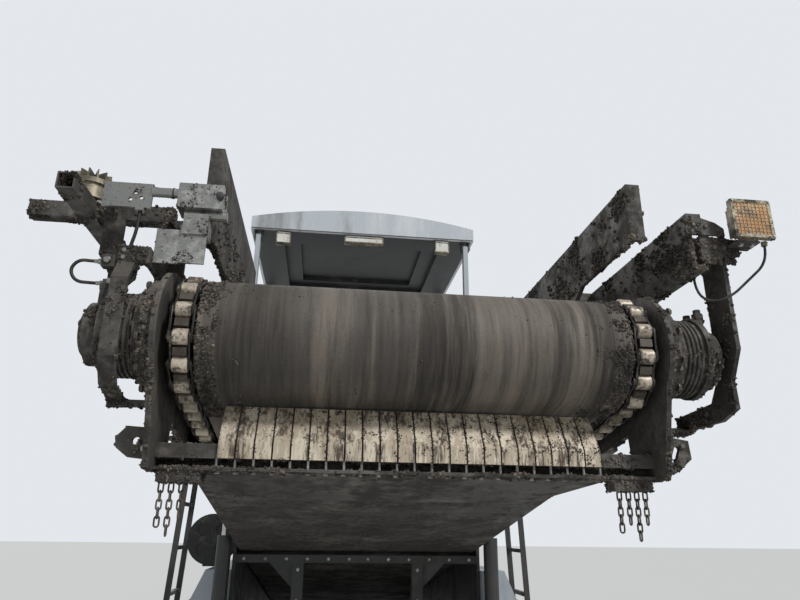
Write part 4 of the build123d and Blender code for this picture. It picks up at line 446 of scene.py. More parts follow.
class Shape:
    """Plain forms gathered into one mesh, which then becomes one piece."""

    def __init__(self) -> None:
        """Start with no corners and no faces."""
        self.corners: list[tuple] = []
        self.faces: list[tuple] = []

    def add(self, corners: Iterable[Point], faces: Iterable[Sequence[int]]) -> None:
        """Add corners and faces.

        Args:
            corners: The corners.
            faces: Faces as rows of numbers into them.
        """
        start = len(self.corners)
        self.corners.extend(tuple(corner) for corner in corners)
        self.faces.extend(tuple(start + number for number in face) for face in faces)

    def skin(self, rings: Sequence[Sequence[Point]], closed: bool = False) -> None:
        """Join rings of corners in order.

        Args:
            rings: Rings with the same number of corners.
            closed: True to join the last ring to the first, False to close both ends.
        """
        count, sides = len(rings), len(rings[0])
        faces = []
        for row in range(count if closed else count - 1):
            here, there = row * sides, (row + 1) % count * sides
            faces += [(here + side, here + (side + 1) % sides, there + (side + 1) % sides, there + side)
                      for side in range(sides)]
        if not closed:
            faces += [tuple(reversed(range(sides))), tuple(range((count - 1) * sides, count * sides))]
        self.add([corner for corners in rings for corner in corners], faces)

    def box(self, low: Point, high: Point) -> None:
        """Add a box between two corners."""
        self.skin([[(low[0], low[1], z), (high[0], low[1], z), (high[0], high[1], z), (low[0], high[1], z)]
                   for z in (low[2], high[2])])

    def lathe(self, start: Point, along: Point, profile: Sequence[tuple], sides: int = 20) -> None:
        """Revolve a profile about an axis.

        Args:
            start: A point on the axis.
            along: The axis' direction.
            profile: Rows of distance along the axis and radius.
            sides: Facets round the axis.
        """
        axis = Vector(along).normalized()
        self.skin([ring(Vector(start) + axis * distance, axis.orthogonal(), axis, radius, sides)
                   for distance, radius in profile])

    def rod(self, start: Point, end: Point, radius: float) -> None:
        """Add a round bar between two points."""
        run = Vector(end) - Vector(start)
        self.lathe(start, run, ((0, radius), (run.length, radius)), 16)

    def bolt(self, at: Point, out: Point, across: float) -> None:
        """Add a washer and a hexagon head.

        Args:
            at: Middle of the washer's seat.
            out: Direction away from the seat.
            across: Width of the head over its flats.
        """
        self.lathe(at, out, ((0, across * 0.62), (across * 0.1, across * 0.62)), 14)
        head = across * 0.577
        self.lathe(at, out, ((across * 0.1, head), (across * 0.42, head), (across * 0.52, head * 0.84)), 6)

    def head_bolts(self, places: Iterable[Point], out: Point, across_mm: float) -> None:
        """Add equal bolts at places in millimetres from the head shaft."""
        for place in places:
            self.bolt(from_head(*place), out, across_mm / 1000)

    def prism(self, outline: Sequence[tuple], axis: str, near: float, far: float,
              chamfer: float = 0.0) -> None:
        """Carry a flat outline along an axis.

        Args:
            outline: Corners as (y, z) for the axis X, or (x, z) for Y.
            axis: The axis to carry along.
            near: Start on that axis.
            far: End on that axis.
            chamfer: Width of a chamfer round both faces.
        """
        middle = (sum(p[0] for p in outline) / len(outline), sum(p[1] for p in outline) / len(outline))
        levels = [(near, 0.0), (far, 0.0)]
        if chamfer:
            step = chamfer if far > near else -chamfer
            levels = [(near, chamfer), (near + step, 0.0), (far - step, 0.0), (far, chamfer)]
        rings = []
        for level, inset in levels:
            corners = []
            for first, second in outline:
                keep = 1 - inset / (math.hypot(first - middle[0], second - middle[1]) or 1.0)
                a = middle[0] + (first - middle[0]) * keep
                b = middle[1] + (second - middle[1]) * keep
                corners.append((level, a, b) if axis == "X" else (a, level, b))
            rings.append(corners)
        self.skin(rings)

    def wire_link(self, path: Sequence[Point], radius: float) -> None:
        """Carry an eight-sided wire round a closed path.

        Args:
            path: Points of the wire's middle.
            radius: The wire's radius.
        """
        rings, across = [], None
        for place, point in enumerate(path):
            along = (path[(place + 1) % len(path)] - path[place - 1]).normalized()
            across = along.orthogonal() if across is None else across - along * across.dot(along)
            across.normalize()
            rings.append(ring(point, across, along, radius, 8))
        self.skin(rings, closed=True)

    def piece(self, name: str, body: str, slot: str, finish: Finish, bevel_mm: float = 0.0) -> bpy.types.Object:
        """Make the mesh an object that rides on a body.

        Args:
            name: The piece's name.
            body: The body that carries it.
            slot: The record's material slot that it belongs to.
            finish: What its surface is.
            bevel_mm: Width of a rounded edge, if any.

        Returns:
            The new object.
        """
        mesh = bpy.data.meshes.new(name)
        mesh.from_pydata(self.corners, [], self.faces)
        form = bmesh.new()
        form.from_mesh(mesh)
        bmesh.ops.recalc_face_normals(form, faces=form.faces)
        form.to_mesh(mesh)
        form.free()
        mesh.shade_smooth()
        mesh.set_sharp_from_angle(angle=math.radians(38))
        made = ride(name, mesh, body, slot, finish)
        if bevel_mm:
            bevel = made.modifiers.new("edges", "BEVEL")
            bevel.width, bevel.segments, bevel.harden_normals = bevel_mm / 1000, 2, True
            bevel.limit_method, bevel.angle_limit = "ANGLE", math.radians(40)
        return made


def ride(name: str, data: bpy.types.ID, body: str, slot: str, finish: Finish) -> bpy.types.Object:
    """Make a piece of its data, with its finish, that rides on a body.

    Args:
        name: The piece's name.
        data: Its mesh or curve.
        body: The body that carries it.
        slot: The record's material slot that it belongs to; not used.
        finish: What its surface is.

    Returns:
        The new object.
    """
    made = place_object(name, data)
    data.materials.append(finish.material())
    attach(made, body)
    LOG.info("piece %s", name)
    return made


def ball_form() -> tuple[list, list]:
    """Make a twenty-sided ball.

    Returns:
        Its corners and faces.
    """
    ball = bmesh.new()
    bmesh.ops.create_icosphere(ball, subdivisions=1, radius=1.0)
    form = [corner.co[:] for corner in ball.verts], [[corner.index for corner in face.verts] for face in ball.faces]
    ball.free()
    return form


# Rough forms by radius in metres: four, eight and twenty faces, so that small crumbs stay light
CRUMB_FORMS = (
    (0.0, 0.0023, ((1, 1, 1), (1, -1, -1), (-1, 1, -1), (-1, -1, 1)), ((0, 1, 2), (0, 3, 1), (0, 2, 3), (1, 3, 2))),
    (0.0023, 0.0048, ((1, 0, 0), (-1, 0, 0), (0, 1, 0), (0, -1, 0), (0, 0, 1), (0, 0, -1)),
     ((0, 2, 4), (2, 1, 4), (1, 3, 4), (3, 0, 4), (2, 0, 5), (1, 2, 5), (3, 1, 5), (0, 3, 5))),
    (0.0048, 1.0, *ball_form()),
)
TRIES = 60
DRAWS = 40000


@dataclass(frozen=True)
class Crumbs:
    """Crumbs of asphalt that stick to a node's surface inside a box.

    The box is in metres. Crumb sizes, patch and comb are millimetres. Crumbs gather where a slow noise is
    high, on the side that lean points to and, with a comb, at the joints with that pitch.
    """

    name: str
    node: str
    low: tuple
    high: tuple
    count: int
    small: float
    large: float
    cover: float
    patch: float
    seed: int
    slot: str = "frame_paint"
    body: str = "conveyor"
    facing: tuple = ()
    comb: float = 0.0
    lean: tuple = (0.0, 0.0, 0.0)

    def triangles(self) -> numpy.ndarray:
        """Collect the node's triangles that reach into the box.

        Returns:
            Their corners.
        """
        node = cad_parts[self.node]
        node.data.calc_loop_triangles()
        places = numpy.empty(len(node.data.vertices) * 3)
        node.data.vertices.foreach_get("co", places)
        turn = numpy.array(node.matrix_world)
        places = places.reshape(-1, 3) @ turn[:3, :3].T + turn[:3, 3]
        rows = numpy.empty(len(node.data.loop_triangles) * 3, dtype=int)
        node.data.loop_triangles.foreach_get("vertices", rows)
        corners = places[rows.reshape(-1, 3)]
        keep = (corners.max(axis=1) >= self.low).all(axis=1) & (corners.min(axis=1) <= self.high).all(axis=1)
        return corners[keep]

    def chance(self, spots: numpy.ndarray) -> numpy.ndarray:
        """Work out how likely a crumb is to stick.

        Args:
            spots: Points on the surface.

        Returns:
            The chance at each.
        """
        scale = 1000 / self.patch
        level = numpy.array([noise.noise(Vector(p) * scale) + 0.4 * noise.noise(Vector(p) * scale * 4)
                             for p in spots])
        level += (spots - (numpy.array(self.low) + self.high) / 2) @ numpy.array(self.lean)
        if self.comb:
            near = numpy.abs((spots[:, 0] * 1000 / self.comb + 0.5) % 1 - 0.5) * self.comb
            level += numpy.where(near < 5, 0.5, -0.25)
        return numpy.clip((level + 1.1 * (self.cover - 0.5)) * 5, 0.02, 1)

    def points(self) -> tuple:
        """Scatter spots over the surface.

        Returns:
            The spots, and the surface's directions there.
        """
        dice = numpy.random.default_rng(self.seed)
        corners = self.triangles()
        cross = numpy.cross(corners[:, 1] - corners[:, 0], corners[:, 2] - corners[:, 0])
        size = numpy.linalg.norm(cross, axis=1)
        normals = cross / numpy.maximum(size, 1e-12)[:, None]
        if self.facing:
            size = size * ((normals @ numpy.array(self.facing)) > 0.35)
        found, ways, total = [], [], 0
        for _ in range(TRIES):
            pick = dice.choice(len(corners), DRAWS, p=size / size.sum())
            a, b = dice.random(DRAWS), dice.random(DRAWS)
            flip = a + b > 1
            a[flip], b[flip] = 1 - a[flip], 1 - b[flip]
            tri = corners[pick]
            spot = tri[:, 0] + a[:, None] * (tri[:, 1] - tri[:, 0]) + b[:, None] * (tri[:, 2] - tri[:, 0])
            inside = ((spot >= self.low) & (spot <= self.high)).all(axis=1)
            spot, way = spot[inside], normals[pick][inside]
            kept = self.chance(spot) > dice.random(len(spot))
            found.append(spot[kept])
            ways.append(way[kept])
            total += int(kept.sum())
            if total >= self.count:
                break
        return numpy.concatenate(found)[:self.count], numpy.concatenate(ways)[:self.count]

    def build(self) -> None:
        """Put a rough crumb at each spot and make them all one mesh."""
        spots, ways = self.points()
        dice = numpy.random.default_rng(self.seed)
        size = (self.small + (self.large - self.small) * dice.random(len(spots)) ** 2.2) / 2000
        corners, faces, total = [], [], 0
        for least, most, base, sides in CRUMB_FORMS:
            chosen = (size >= least) & (size < most)
            base, sides = numpy.array(base), numpy.array(sides)
            count, reach = int(chosen.sum()), size[chosen]
            stretch = reach[:, None, None] * dice.uniform(0.7, 1.25, (count, 1, 3))
            rough = base[None] * (1 + dice.uniform(-0.28, 0.28, (count, len(base), 1))) * stretch
            first = dice.normal(size=(count, 3))
            first /= numpy.linalg.norm(first, axis=1)[:, None]
            second = numpy.cross(first, dice.normal(size=(count, 3)))
            second /= numpy.linalg.norm(second, axis=1)[:, None]
            turns = numpy.stack([first, second, numpy.cross(first, second)], axis=2)
            seat = spots[chosen] + ways[chosen] * reach[:, None] * 0.15
            corners.append((numpy.einsum("nij,nkj->nki", turns, rough) + seat[:, None]).reshape(-1, 3))
            faces.append((sides[None] + (total + numpy.arange(count) * len(base))[:, None, None]).reshape(-1, 3))
            total += count * len(base)
        mesh = bpy.data.meshes.new(self.name)
        mesh.from_pydata(numpy.concatenate(corners).tolist(), [], numpy.concatenate(faces).tolist())
        ride(self.name, mesh, self.body, self.slot, CRUST)


def at_head(name: str, node: str, low: Point, high: Point, *rest: float, **options: object) -> Crumbs:
    """Make crumbs whose box is given in millimetres from the head shaft."""
    return Crumbs(name, node, tuple(from_head(*low)), tuple(from_head(*high)), *rest, **options)


def both_sides(name: str, node: str, low: Point, high: Point, *rest: float, seed: int,
               **options: object) -> list[Crumbs]:
    """Make such crumbs at both sides of the head, from the right one's box.

    Args:
        name: The pieces' name before the side.
        node: The node they stick to.
        low: Lowest corner, in millimetres from the head shaft.
        high: Highest corner.
        rest: The fields of Crumbs from count to patch.
        seed: Middle of both seeds.
        options: Other fields of Crumbs.

    Returns:
        Both rows of crumbs.
    """
    rows = []
    for label, side in SIDES:
        near, far = sorted((side * low[0], side * high[0]))
        rows.append(at_head(f"{name}_{label}", node, (near, *low[1:]), (far, *high[1:]), *rest, seed=seed + side,
                            **options))
    return rows


# Each row: name, node, box, count, smallest, largest, share covered, size of the patches, seed
CRUMB_ZONES = (
    at_head("scraper_crust", "scraper_beam", (-715, -40, -440), (715, 70, -296), 8500, 3, 13, 0.62, 60, 5),
    at_head("finger_crust", "scraper_fingers", (-560, -45, -345), (560, 60, -180), 6500, 2, 7, 0.42, 26, 6,
            slot="worn_steel", comb=50, lean=(0.55, 0, 3.2)),
    *both_sides("belt_edge_crust", "conveyor_belt", (563, -400, -200), (615, 500, 200), 7000, 3, 12, 0.8, 50,
                seed=11, slot="belt_rubber"),
    *both_sides("belt_band_crust", "conveyor_belt", (500.6, -400, -200), (563, 500, 200), 1500, 1.5, 5, 0.35,
                50, seed=21, slot="belt_rubber"),
    at_head("belt_crumbs", "conveyor_belt", (-615, -400, -200), (615, 700, 200), 900, 1.5, 6, 0.3, 120, 31,
            slot="belt_rubber"),
    *both_sides("drive_crust", "drive_motors", (716, -150, -150), (960, 150, 150), 3000, 3.5, 13, 0.42, 70,
                seed=41),
    *both_sides("cheek_crust", "conveyor_frame", (716, -260, -380), (960, 300, 240), 5000, 4, 15, 0.5, 90,
                seed=51),
    at_head("work_lamp_dust", "work_lamp", (950, -232, 330), (1090, -170, 465), 700, 1.2, 4, 0.3, 30, 61,
            slot="lamp_body"),
    at_head("left_arm_crust", "arm_left", (-1200, -210, -360), (-725, 110, 430), 5500, 3, 12, 0.4, 80, 71),
    at_head("sensor_crust", "sensor_unit", (-950, -135, 180), (-575, -45, 450), 1500, 1.5, 6, 0.35, 50, 72,
            slot="worn_steel"),
    at_head("right_arm_crust", "arm_right", (725, -170, -380), (1010, 500, 470), 6700, 4, 14, 0.45, 90, 81),
    *both_sides("guide_crust", "side_guides", (628, -210, 300), (700, 900, 510), 4000, 4, 15, 0.42, 90,
                seed=91, lean=(0, 0, -1.5)),
    Crumbs("hopper_crust_left", "hopper_wing_left", (-0.99, 1.6, 0.94), (-0.62, 3.88, 1.5), 1600, 3, 11, 0.3,
           160, 101, "body_paint", "hopper_wing_left", facing=(1, 0, 0.2)),
    Crumbs("hopper_crust_right", "hopper_wing_right", (0.62, 1.6, 0.94), (0.99, 3.88, 1.5), 1600, 3, 11, 0.3,
           160, 102, "body_paint", "hopper_wing_right", facing=(-1, 0, 0.2)),
    Crumbs("tail_crust", "conveyor_frame", (-0.87, 1.4, 0.5), (0.87, 3.28, 1.1), 2600, 3, 11, 0.35, 120, 103),
    Crumbs("frame_crust", "conveyor_frame", (-0.87, -4.0, 1.4), (0.87, -2.2, 2.25), 3600, 3, 11, 0.3, 130, 104),
    Crumbs("chassis_crust", "chassis_frame", (-1.0, 1.6, 0.4), (1.0, 4.1, 0.9), 1500, 3, 10, 0.3, 120, 105,
           "dark_paint", "chassis"),
)


@dataclass(frozen=True)
class FreeCord:
    """A hose or cable that hangs free between two glands at the discharge head.

    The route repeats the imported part's points, in millimetres from the head shaft. Diameter and length are
    millimetres too.
    """

    name: str
    route: tuple
    diameter: float
    length: float

    def build(self) -> None:
        points = [from_head(*point) for point in self.route]
        curve = bpy.data.curves.new(f"{self.name}_cord", "CURVE")
        curve.dimensions, curve.resolution_u, curve.use_fill_caps = "3D", 16, True
        curve.bevel_depth, curve.bevel_resolution = self.diameter / 2000, 5
        spline = curve.splines.new("NURBS")
        spline.points.add(len(points) - 1)
        for knot, point in zip(spline.points, points):
            knot.co = (*point, 1.0)
        spline.order_u = 3
        spline.use_endpoint_u = True
        made = ride(f"{self.name}_cord", curve, "conveyor", "hose_rubber", HOSE)
        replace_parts(made, self.name)


CORDS = (
    FreeCord("hose_loop", ((-940, -15, 221), (-966, -15, 221), (-1005, -23, 221), (-1024, -28, 186.5),
                           (-1005, -23, 152), (-965, -15, 152), (-925, -15, 152)), 10.0, 215.8),
    FreeCord("hose_drop", ((-830, -100, 352), (-830, -100, 300), (-842, -96, 240), (-860, -70, 214),
                           (-860, -30, 214)), 10.0, 190.1),
    FreeCord("lamp_cable", ((1065, -198, 320), (1065, -198, 268), (1012, -166, 214), (960, -150, 165),
                            (900, -130, 150), (875, -105, 192), (875, -105, 241)), 8.0, 364.3),
)
OUT_X, REARWARD, FORWARD, UP, DOWN = (1, 0, 0), (0, -1, 0), (0, 1, 0), (0, 0, 1), (0, 0, -1)


@dataclass(frozen=True)
class RollerChain:
    """Roller chain on both edges of the belt, with every link modelled. Sizes are millimetres."""

    pitch: float = 76.0
    teeth: int = 13
    tail_teeth: int = 11
    chain_x: float = 655.0
    roller_r: float = 22.8
    roller_w: float = 42.0
    link_t: float = 6.0
    link_r: float = 17.0
    waist: float = 4.0
    pin_r: float = 8.0
    phase_deg: float = 3.2
    fine_links: tuple = (15, 8)

    def centres(self) -> list[tuple[float, float]]:
        """Place the chain's pins once round the loop.

        Returns:
            Each pin's distance down the run and height square above it.
        """
        head_r, tail_r = (self.pitch / 2 / math.sin(math.pi / teeth) for teeth in (self.teeth, self.tail_teeth))
        run = RUN_LENGTH * 1000
        wrap = (math.radians(self.phase_deg) + 2 * math.pi / self.teeth * turn for turn in range(7))
        pins = [(-head_r * math.sin(a), head_r * math.cos(a)) for a in wrap]
        straights = []
        for level, start in ((-1, pins[-1][0]), (1, pins[0][0])):
            count = round((run - start) / self.pitch)
            straights.append([(start + (run - start) / count * place,
                               level * (head_r + (tail_r - head_r) * place / count))
                              for place in range(1, count + 1)])
        turns = round(math.pi * tail_r / self.pitch)
        tail = [(run + tail_r * math.sin(a), -tail_r * math.cos(a))
                for a in (math.pi * place / turns for place in range(1, turns))]
        return pins + straights[0] + tail + straights[1][::-1]

    def plate(self, shape: Shape, near: tuple, far: tuple, x: float, fine: bool) -> None:
        """Add one waisted link plate between two pins.

        Args:
            shape: The shape that gets it.
            near: First pin, as distance down the run and height.
            far: Second pin.
            x: The plate's inner face from the machine's middle.
            fine: True for a plate seen close, with chamfered faces.
        """
        length = math.hypot(far[0] - near[0], far[1] - near[1])
        ux, uy = (far[0] - near[0]) / length, (far[1] - near[1]) / length
        steps = 6 if fine else 3
        local = []
        for centre, start, level in ((length, -75, 1), (0, 105, -1)):
            for step in range(steps + 1):
                angle = math.radians(start + 150 * step / steps)
                local.append((centre + self.link_r * math.cos(angle), self.link_r * math.sin(angle)))
            local.append((length / 2, (self.link_r - self.waist) * level))
        outline = [on_run((near[0] + ux * a - uy * b) / 1000, (near[1] + uy * a + ux * b) / 1000)
                   for a, b in local]
        shape.prism(outline, "X", x / 1000, (x + self.link_t) / 1000, 0.0011 if fine else 0.0)

    def build(self) -> None:
        """Make the link plates, and the rollers with their pins, on each side."""
        pins = self.centres()
        half, radius = self.roller_w / 2, self.roller_r
        profile = [(a / 1000, r / 1000) for a, r in
                   ((-half, radius - 3), (-half + 2.5, radius), (half - 2.5, radius), (half, radius - 3))]
        reach = (half + 2 * self.link_t + 4) / 1000
        for name, side in SIDES:
            plates, rollers = Shape(), Shape()
            for place, near in enumerate(pins):
                fine = place < self.fine_links[0] or place > len(pins) - self.fine_links[1]
                inner = half + (self.link_t if place % 2 else 0.3)
                for start in (side * self.chain_x - inner - self.link_t, side * self.chain_x + inner):
                    self.plate(plates, near, pins[(place + 1) % len(pins)], start, fine)
                centre = (side * self.chain_x / 1000, *on_run(near[0] / 1000, near[1] / 1000))
                rollers.lathe(centre, OUT_X, profile, 22 if fine else 12)
                plates.lathe(centre, OUT_X, [(end, self.pin_r / 1000) for end in (-reach, reach)], 10 if fine else 6)
            made = plates.piece(f"chain_plates_{name}", "conveyor", "chain_steel", CHAIN)
            rollers.piece(f"chain_rollers_{name}", "conveyor", "chain_steel", ROLLER)
            if side < 0:
                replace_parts(made, "conveyor_chains")


@dataclass(frozen=True)
class HangingChains:
    """Short chains of welded links below both ends of the scraper. Sizes are millimetres."""

    places: tuple = ((-695, 5), (-668, 6), (-640, 4), (614, 5), (642, 4), (668, 6), (694, 4))
    y: float = 18.0
    top: float = -419.0
    step: float = 22.0
    wire: float = 2.6
    half_width: float = 6.5
    half_straight: float = 7.5

    def build(self) -> None:
        """Make every link a bent and closed wire, turned square to the one above it."""
        chain = Shape()
        for x, count in self.places:
            for link in range(count):
                path = []
                for end, start in ((1, 0), (-1, 180)):
                    for turn in range(0, 181, 30):
                        angle = math.radians(start + turn)
                        a = self.half_width * math.cos(angle)
                        z = self.top - self.step * link + end * self.half_straight + self.half_width * math.sin(angle)
                        path.append(from_head(x, self.y + a, z) if link % 2 else from_head(x + a, self.y, z))
                chain.wire_link(path, self.wire / 1000)
        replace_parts(chain.piece("hanging_chain_links", "conveyor", "chain_steel", BARE_STEEL), "hanging_chains")


@dataclass(frozen=True)
class ScraperStuds:
    """Threaded studs in the scraper's slot, one between every two fingers. Sizes are millimetres."""

    pitch: float = 50.0
    reach: int = 11
    low: float = -365.4
    high: float = -340.6
    radius: float = 4.2
    threads: int = 4

    def build(self) -> None:
        """Make every stud a bar with raised threads."""
        studs = Shape()
        for place in range(-self.reach, self.reach + 1):
            x, y = self.pitch * place, -9
            studs.rod(from_head(x, y, self.low), from_head(x, y, self.high), self.radius / 1000)
            for part in range(self.threads):
                studs.lathe(from_head(x, y, self.low + 4 + 5 * part), UP,
                            ((0, 0.0042), (0.001, 0.0047), (0.002, 0.0042)), 10)
        studs.piece("scraper_studs", "conveyor", "worn_steel", ZINC)


@dataclass(frozen=True)
class Drives:
    """Bolt rings, ribs and ports on the drive gearboxes. Sizes are millimetres."""

    # distance out along the shaft, radius, count, offset in steps and width over flats of each bolt ring
    rings: tuple = ((790, 129, 16, 0.0, 16), (890, 108, 12, 0.5, 14), (938, 78, 12, 0.5, 12))
    rib_x: float = 798.0
    rib_step: float = 14.0
    port: tuple = (914, 30, 128)

    def build(self) -> None:
        """Add what is bolted to each drive."""
        for name, side in SIDES:
            steel, dark = Shape(), Shape()
            for x, radius, count, offset, across in self.rings:
                for turn in range(count):
                    angle = 2 * math.pi * (turn + offset) / count
                    spot = (side * x, math.cos(angle) * radius, math.sin(angle) * radius)
                    steel.head_bolts((spot,), (side, 0, 0), across)
            for rib in range(5):
                dark.lathe(from_head(side * (self.rib_x + self.rib_step * rib), 0, 0), (side, 0, 0),
                           ((0, 0.121), (0.002, 0.1235), (0.006, 0.1235), (0.008, 0.121)), 48)
            x, y, z = self.port
            for place in (-y, y):
                dark.lathe(from_head(side * x, place, z), UP,
                           ((0, 0.018), (0.016, 0.018), (0.018, 0.012), (0.03, 0.012)), 6)
            steel.piece(f"drive_bolts_{name}", "conveyor", "frame_paint", BARE_STEEL)
            dark.piece(f"drive_rings_{name}", "conveyor", "frame_paint", FRAME_PAINT)


@dataclass(frozen=True)
class WorkLamp:
    """Lens, ribs and bolts of the square lamp at the right arm's end. Sizes are millimetres."""

    low: tuple = (955.0, 334.0)
    high: tuple = (1085.0, 462.0)
    face: float = -230.0
    rim: float = 10.0
    ribs: int = 9

    def build(self) -> None:
        """Make the gridded lens, the rim's screws and the foot's bolts."""
        lens, ribs, screws = Shape(), Shape(), Shape()
        (x0, z0), (x1, z1) = (v + self.rim for v in self.low), (v - self.rim for v in self.high)
        lens.box(from_head(x0, self.face + 4, z0), from_head(x1, self.face + 8, z1))
        for rib in range(self.ribs + 1):
            x, z = (a + (b - a) * rib / self.ribs for a, b in ((x0, x1), (z0, z1)))
            ribs.box(from_head(x - 1.2, self.face + 1.6, z0), from_head(x + 1.2, self.face + 4.4, z1))
            ribs.box(from_head(x0, self.face + 2.0, z - 1.2), from_head(x1, self.face + 4.4, z + 1.2))
        screws.head_bolts([(x, self.face, z) for x in (self.low[0] + 5, self.high[0] - 5)
                           for z in (self.low[1] + 5, self.high[1] - 5)], REARWARD, 5.5)
        screws.head_bolts([(x, -200, 322) for x in (985, 1022)], DOWN, 14)
        lens.piece("work_lamp_lens", "conveyor", "lamp_body", AMBER_LENS)
        ribs.piece("work_lamp_ribs", "conveyor", "lamp_body", AMBER_LENS, 0.5)
        screws.piece("work_lamp_screws", "conveyor", "lamp_body", ZINC)


class LeftArm:
    """Fittings and bolts on the left bracket, the round lamp and the sensor."""

    def build(self) -> None:
        """Add the hexagons, glands, bolts and collars, at places in millimetres from the head shaft."""
        steel, dark = Shape(), Shape()
        for x, z in ((-921, 221), (-860, 214), (-906, 152)):
            steel.lathe(from_head(x, -30, z), REARWARD, ((0, 0.011), (0.009, 0.011), (0.011, 0.008)), 6)
        for x, z in ((-940, 221), (-925, 152)):
            steel.lathe(from_head(x, -15, z), (-1, 0, 0), ((0, 0.0085), (0.012, 0.0085), (0.014, 0.0062),
                                                           (0.022, 0.0062)), 12)
        for places, across in ((((-958, -8, 400), (-938, -8, 384), (-985, -8, 418)), 13),
                               ([(-752, 90, z) for z in (180, 300, 396)], 16),
                               ([(-845, -130, z) for z in (192, 214)], 12), ([(-748, -8, -318)], 16),
                               ([(x, -125, z) for x in (-680, -645) for z in (292, 332)], 8)):
            steel.head_bolts(places, REARWARD, across)
        dark.lathe(from_head(-600, -130, 402), REARWARD, ((0, 0.012), (0.01, 0.012), (0.012, 0.009)), 20)
        dark.lathe(from_head(-713, -100, 419), OUT_X, ((-0.03, 0.0165), (-0.026, 0.0165)), 20)
        dark.lathe(from_head(-655, -96, 352), OUT_X, ((0, 0.0185), (0.012, 0.0185)), 20)
        steel.piece("left_arm_fittings", "conveyor", "frame_paint", ZINC)
        dark.piece("sensor_collars", "conveyor", "worn_steel", DARK_PAINT, 0.5)


class RightArm:
    """Bolts on the right arm and its guard."""

    def build(self) -> None:
        """Add the bolts, at places in millimetres from the head shaft."""
        steel = Shape()
        for places, out, across in (
                (((860, -166, 395), (900, -166, 392), (940, -166, 382)), REARWARD, 12),
                ([(x, -158, 325) for x in (925, 955)], REARWARD, 13),
                ([(850, y, 348) for y in (60, 300, 540, 700)], (-1, 0, 0), 18),
                ([(x, 240, -190) for x in (760, 830, 900)], UP, 18),
                (((750, -8, -268), (815, -8, -272), (755, -8, -352)), REARWARD, 15)):
            steel.head_bolts(places, out, across)
        steel.piece("right_arm_bolts", "conveyor", "frame_paint", BARE_STEEL)


@dataclass(frozen=True)
class Bolts:
    """Rows and rings of equal bolts that make one piece, in millimetres in the machine's frame.

    A row holds its start, its end, the count, the direction out and the width over flats. A ring holds its
    middle, its radius, the count, the direction out and the width over flats.
    """

    name: str
    body: str
    slot: str
    finish: Finish
    rows: tuple = ()
    rings: tuple = ()

    def build(self) -> None:
        """Make every bolt on both sides of the machine."""
        shape = Shape()
        for _, side in SIDES:
            for start, end, count, out, across in self.rows:
                a, b = (Vector((side * p[0], p[1], p[2])) / 1000 for p in (start, end))
                for place in range(count):
                    shape.bolt(a.lerp(b, place / max(count - 1, 1)), (side * out[0], *out[1:]), across / 1000)
            for middle, radius, count, out, across in self.rings:
                way = Vector((side * out[0], *out[1:]))
                centre = Vector((side * middle[0], middle[1], middle[2])) / 1000
                for spot in ring(centre, way.orthogonal(), way, radius / 1000, count):
                    shape.bolt(spot, way, across / 1000)
        shape.piece(self.name, self.body, self.slot, self.finish)


BOLTS = (
    Bolts("undercarriage_bolts", "chassis", "dark_paint", BARE_STEEL, rows=(
        ((1180, -480, 440), (1180, 1230, 440), 9, OUT_X, 22),
        ((1180, -480, 240), (1180, 1230, 240), 13, OUT_X, 18)), rings=(
        ((1120, -875, 350), 130, 12, OUT_X, 24), ((1120, 1625, 350), 105, 8, OUT_X, 20),
        ((1205, -875, 350), 48, 8, OUT_X, 16), ((1205, 1625, 350), 48, 6, OUT_X, 16))),
    Bolts("engine_housing_bolts", "chassis", "body_paint", ZINC, rows=(
        ((950, 562, 1660), (950, 562, 2620), 6, OUT_X, 14), ((950, 1490, 1660), (950, 1490, 2620), 6, OUT_X, 14),
        ((120, 560, 2700), (880, 560, 2700), 5, UP, 14), ((120, 1505, 2700), (880, 1505, 2700), 5, UP, 14))),
    Bolts("deck_bolts", "chassis", "dark_paint", ZINC, rows=(
        ((1200, -620, 2080), (1200, 460, 2080), 3, OUT_X, 16), ((1200, -620, 2122), (1200, 460, 2122), 3, OUT_X, 16),
        ((1235, -1040, 2030), (1235, -740, 2030), 4, OUT_X, 16), ((905, -1025, 2050), (905, -895, 2050), 2, UP, 16),
        ((905, 415, 2050), (905, 415, 2050), 1, UP, 16), ((939.5, -960, 2110), (939.5, 480, 2110), 2, OUT_X, 24))),
    Bolts("hopper_bolts", "chassis", "body_paint", ZINC, rows=(
        ((875, 1640, 560), (875, 3900, 560), 18, OUT_X, 16), ((875, 1640, 830), (875, 3900, 830), 18, OUT_X, 16))),
    Bolts("push_beam_bolts", "push_beam", "dark_paint", ZINC, rings=(((0, 4250, 520), 38, 4, FORWARD, 18),)),
    Bolts("chassis_bolts", "chassis", "dark_paint", ZINC, rows=(
        ((380, -1675, 530), (380, -1675, 1250), 5, REARWARD, 18),
        ((60, -1675, 1313), (720, -1675, 1313), 6, REARWARD, 16),
        ((60, -1675, 450), (720, -1675, 450), 6, REARWARD, 16))),
    Bolts("scraper_bolts", "conveyor", "worn_steel", ZINC, rows=(
        ((0, -4205, 1644), (550, -4205, 1644), 12, DOWN, 13),)),
    Bolts("cheek_bolts", "conveyor", "dark_paint", BARE_STEEL, rings=(((763, -4225, 2017), 165, 12, OUT_X, 20),)),
)


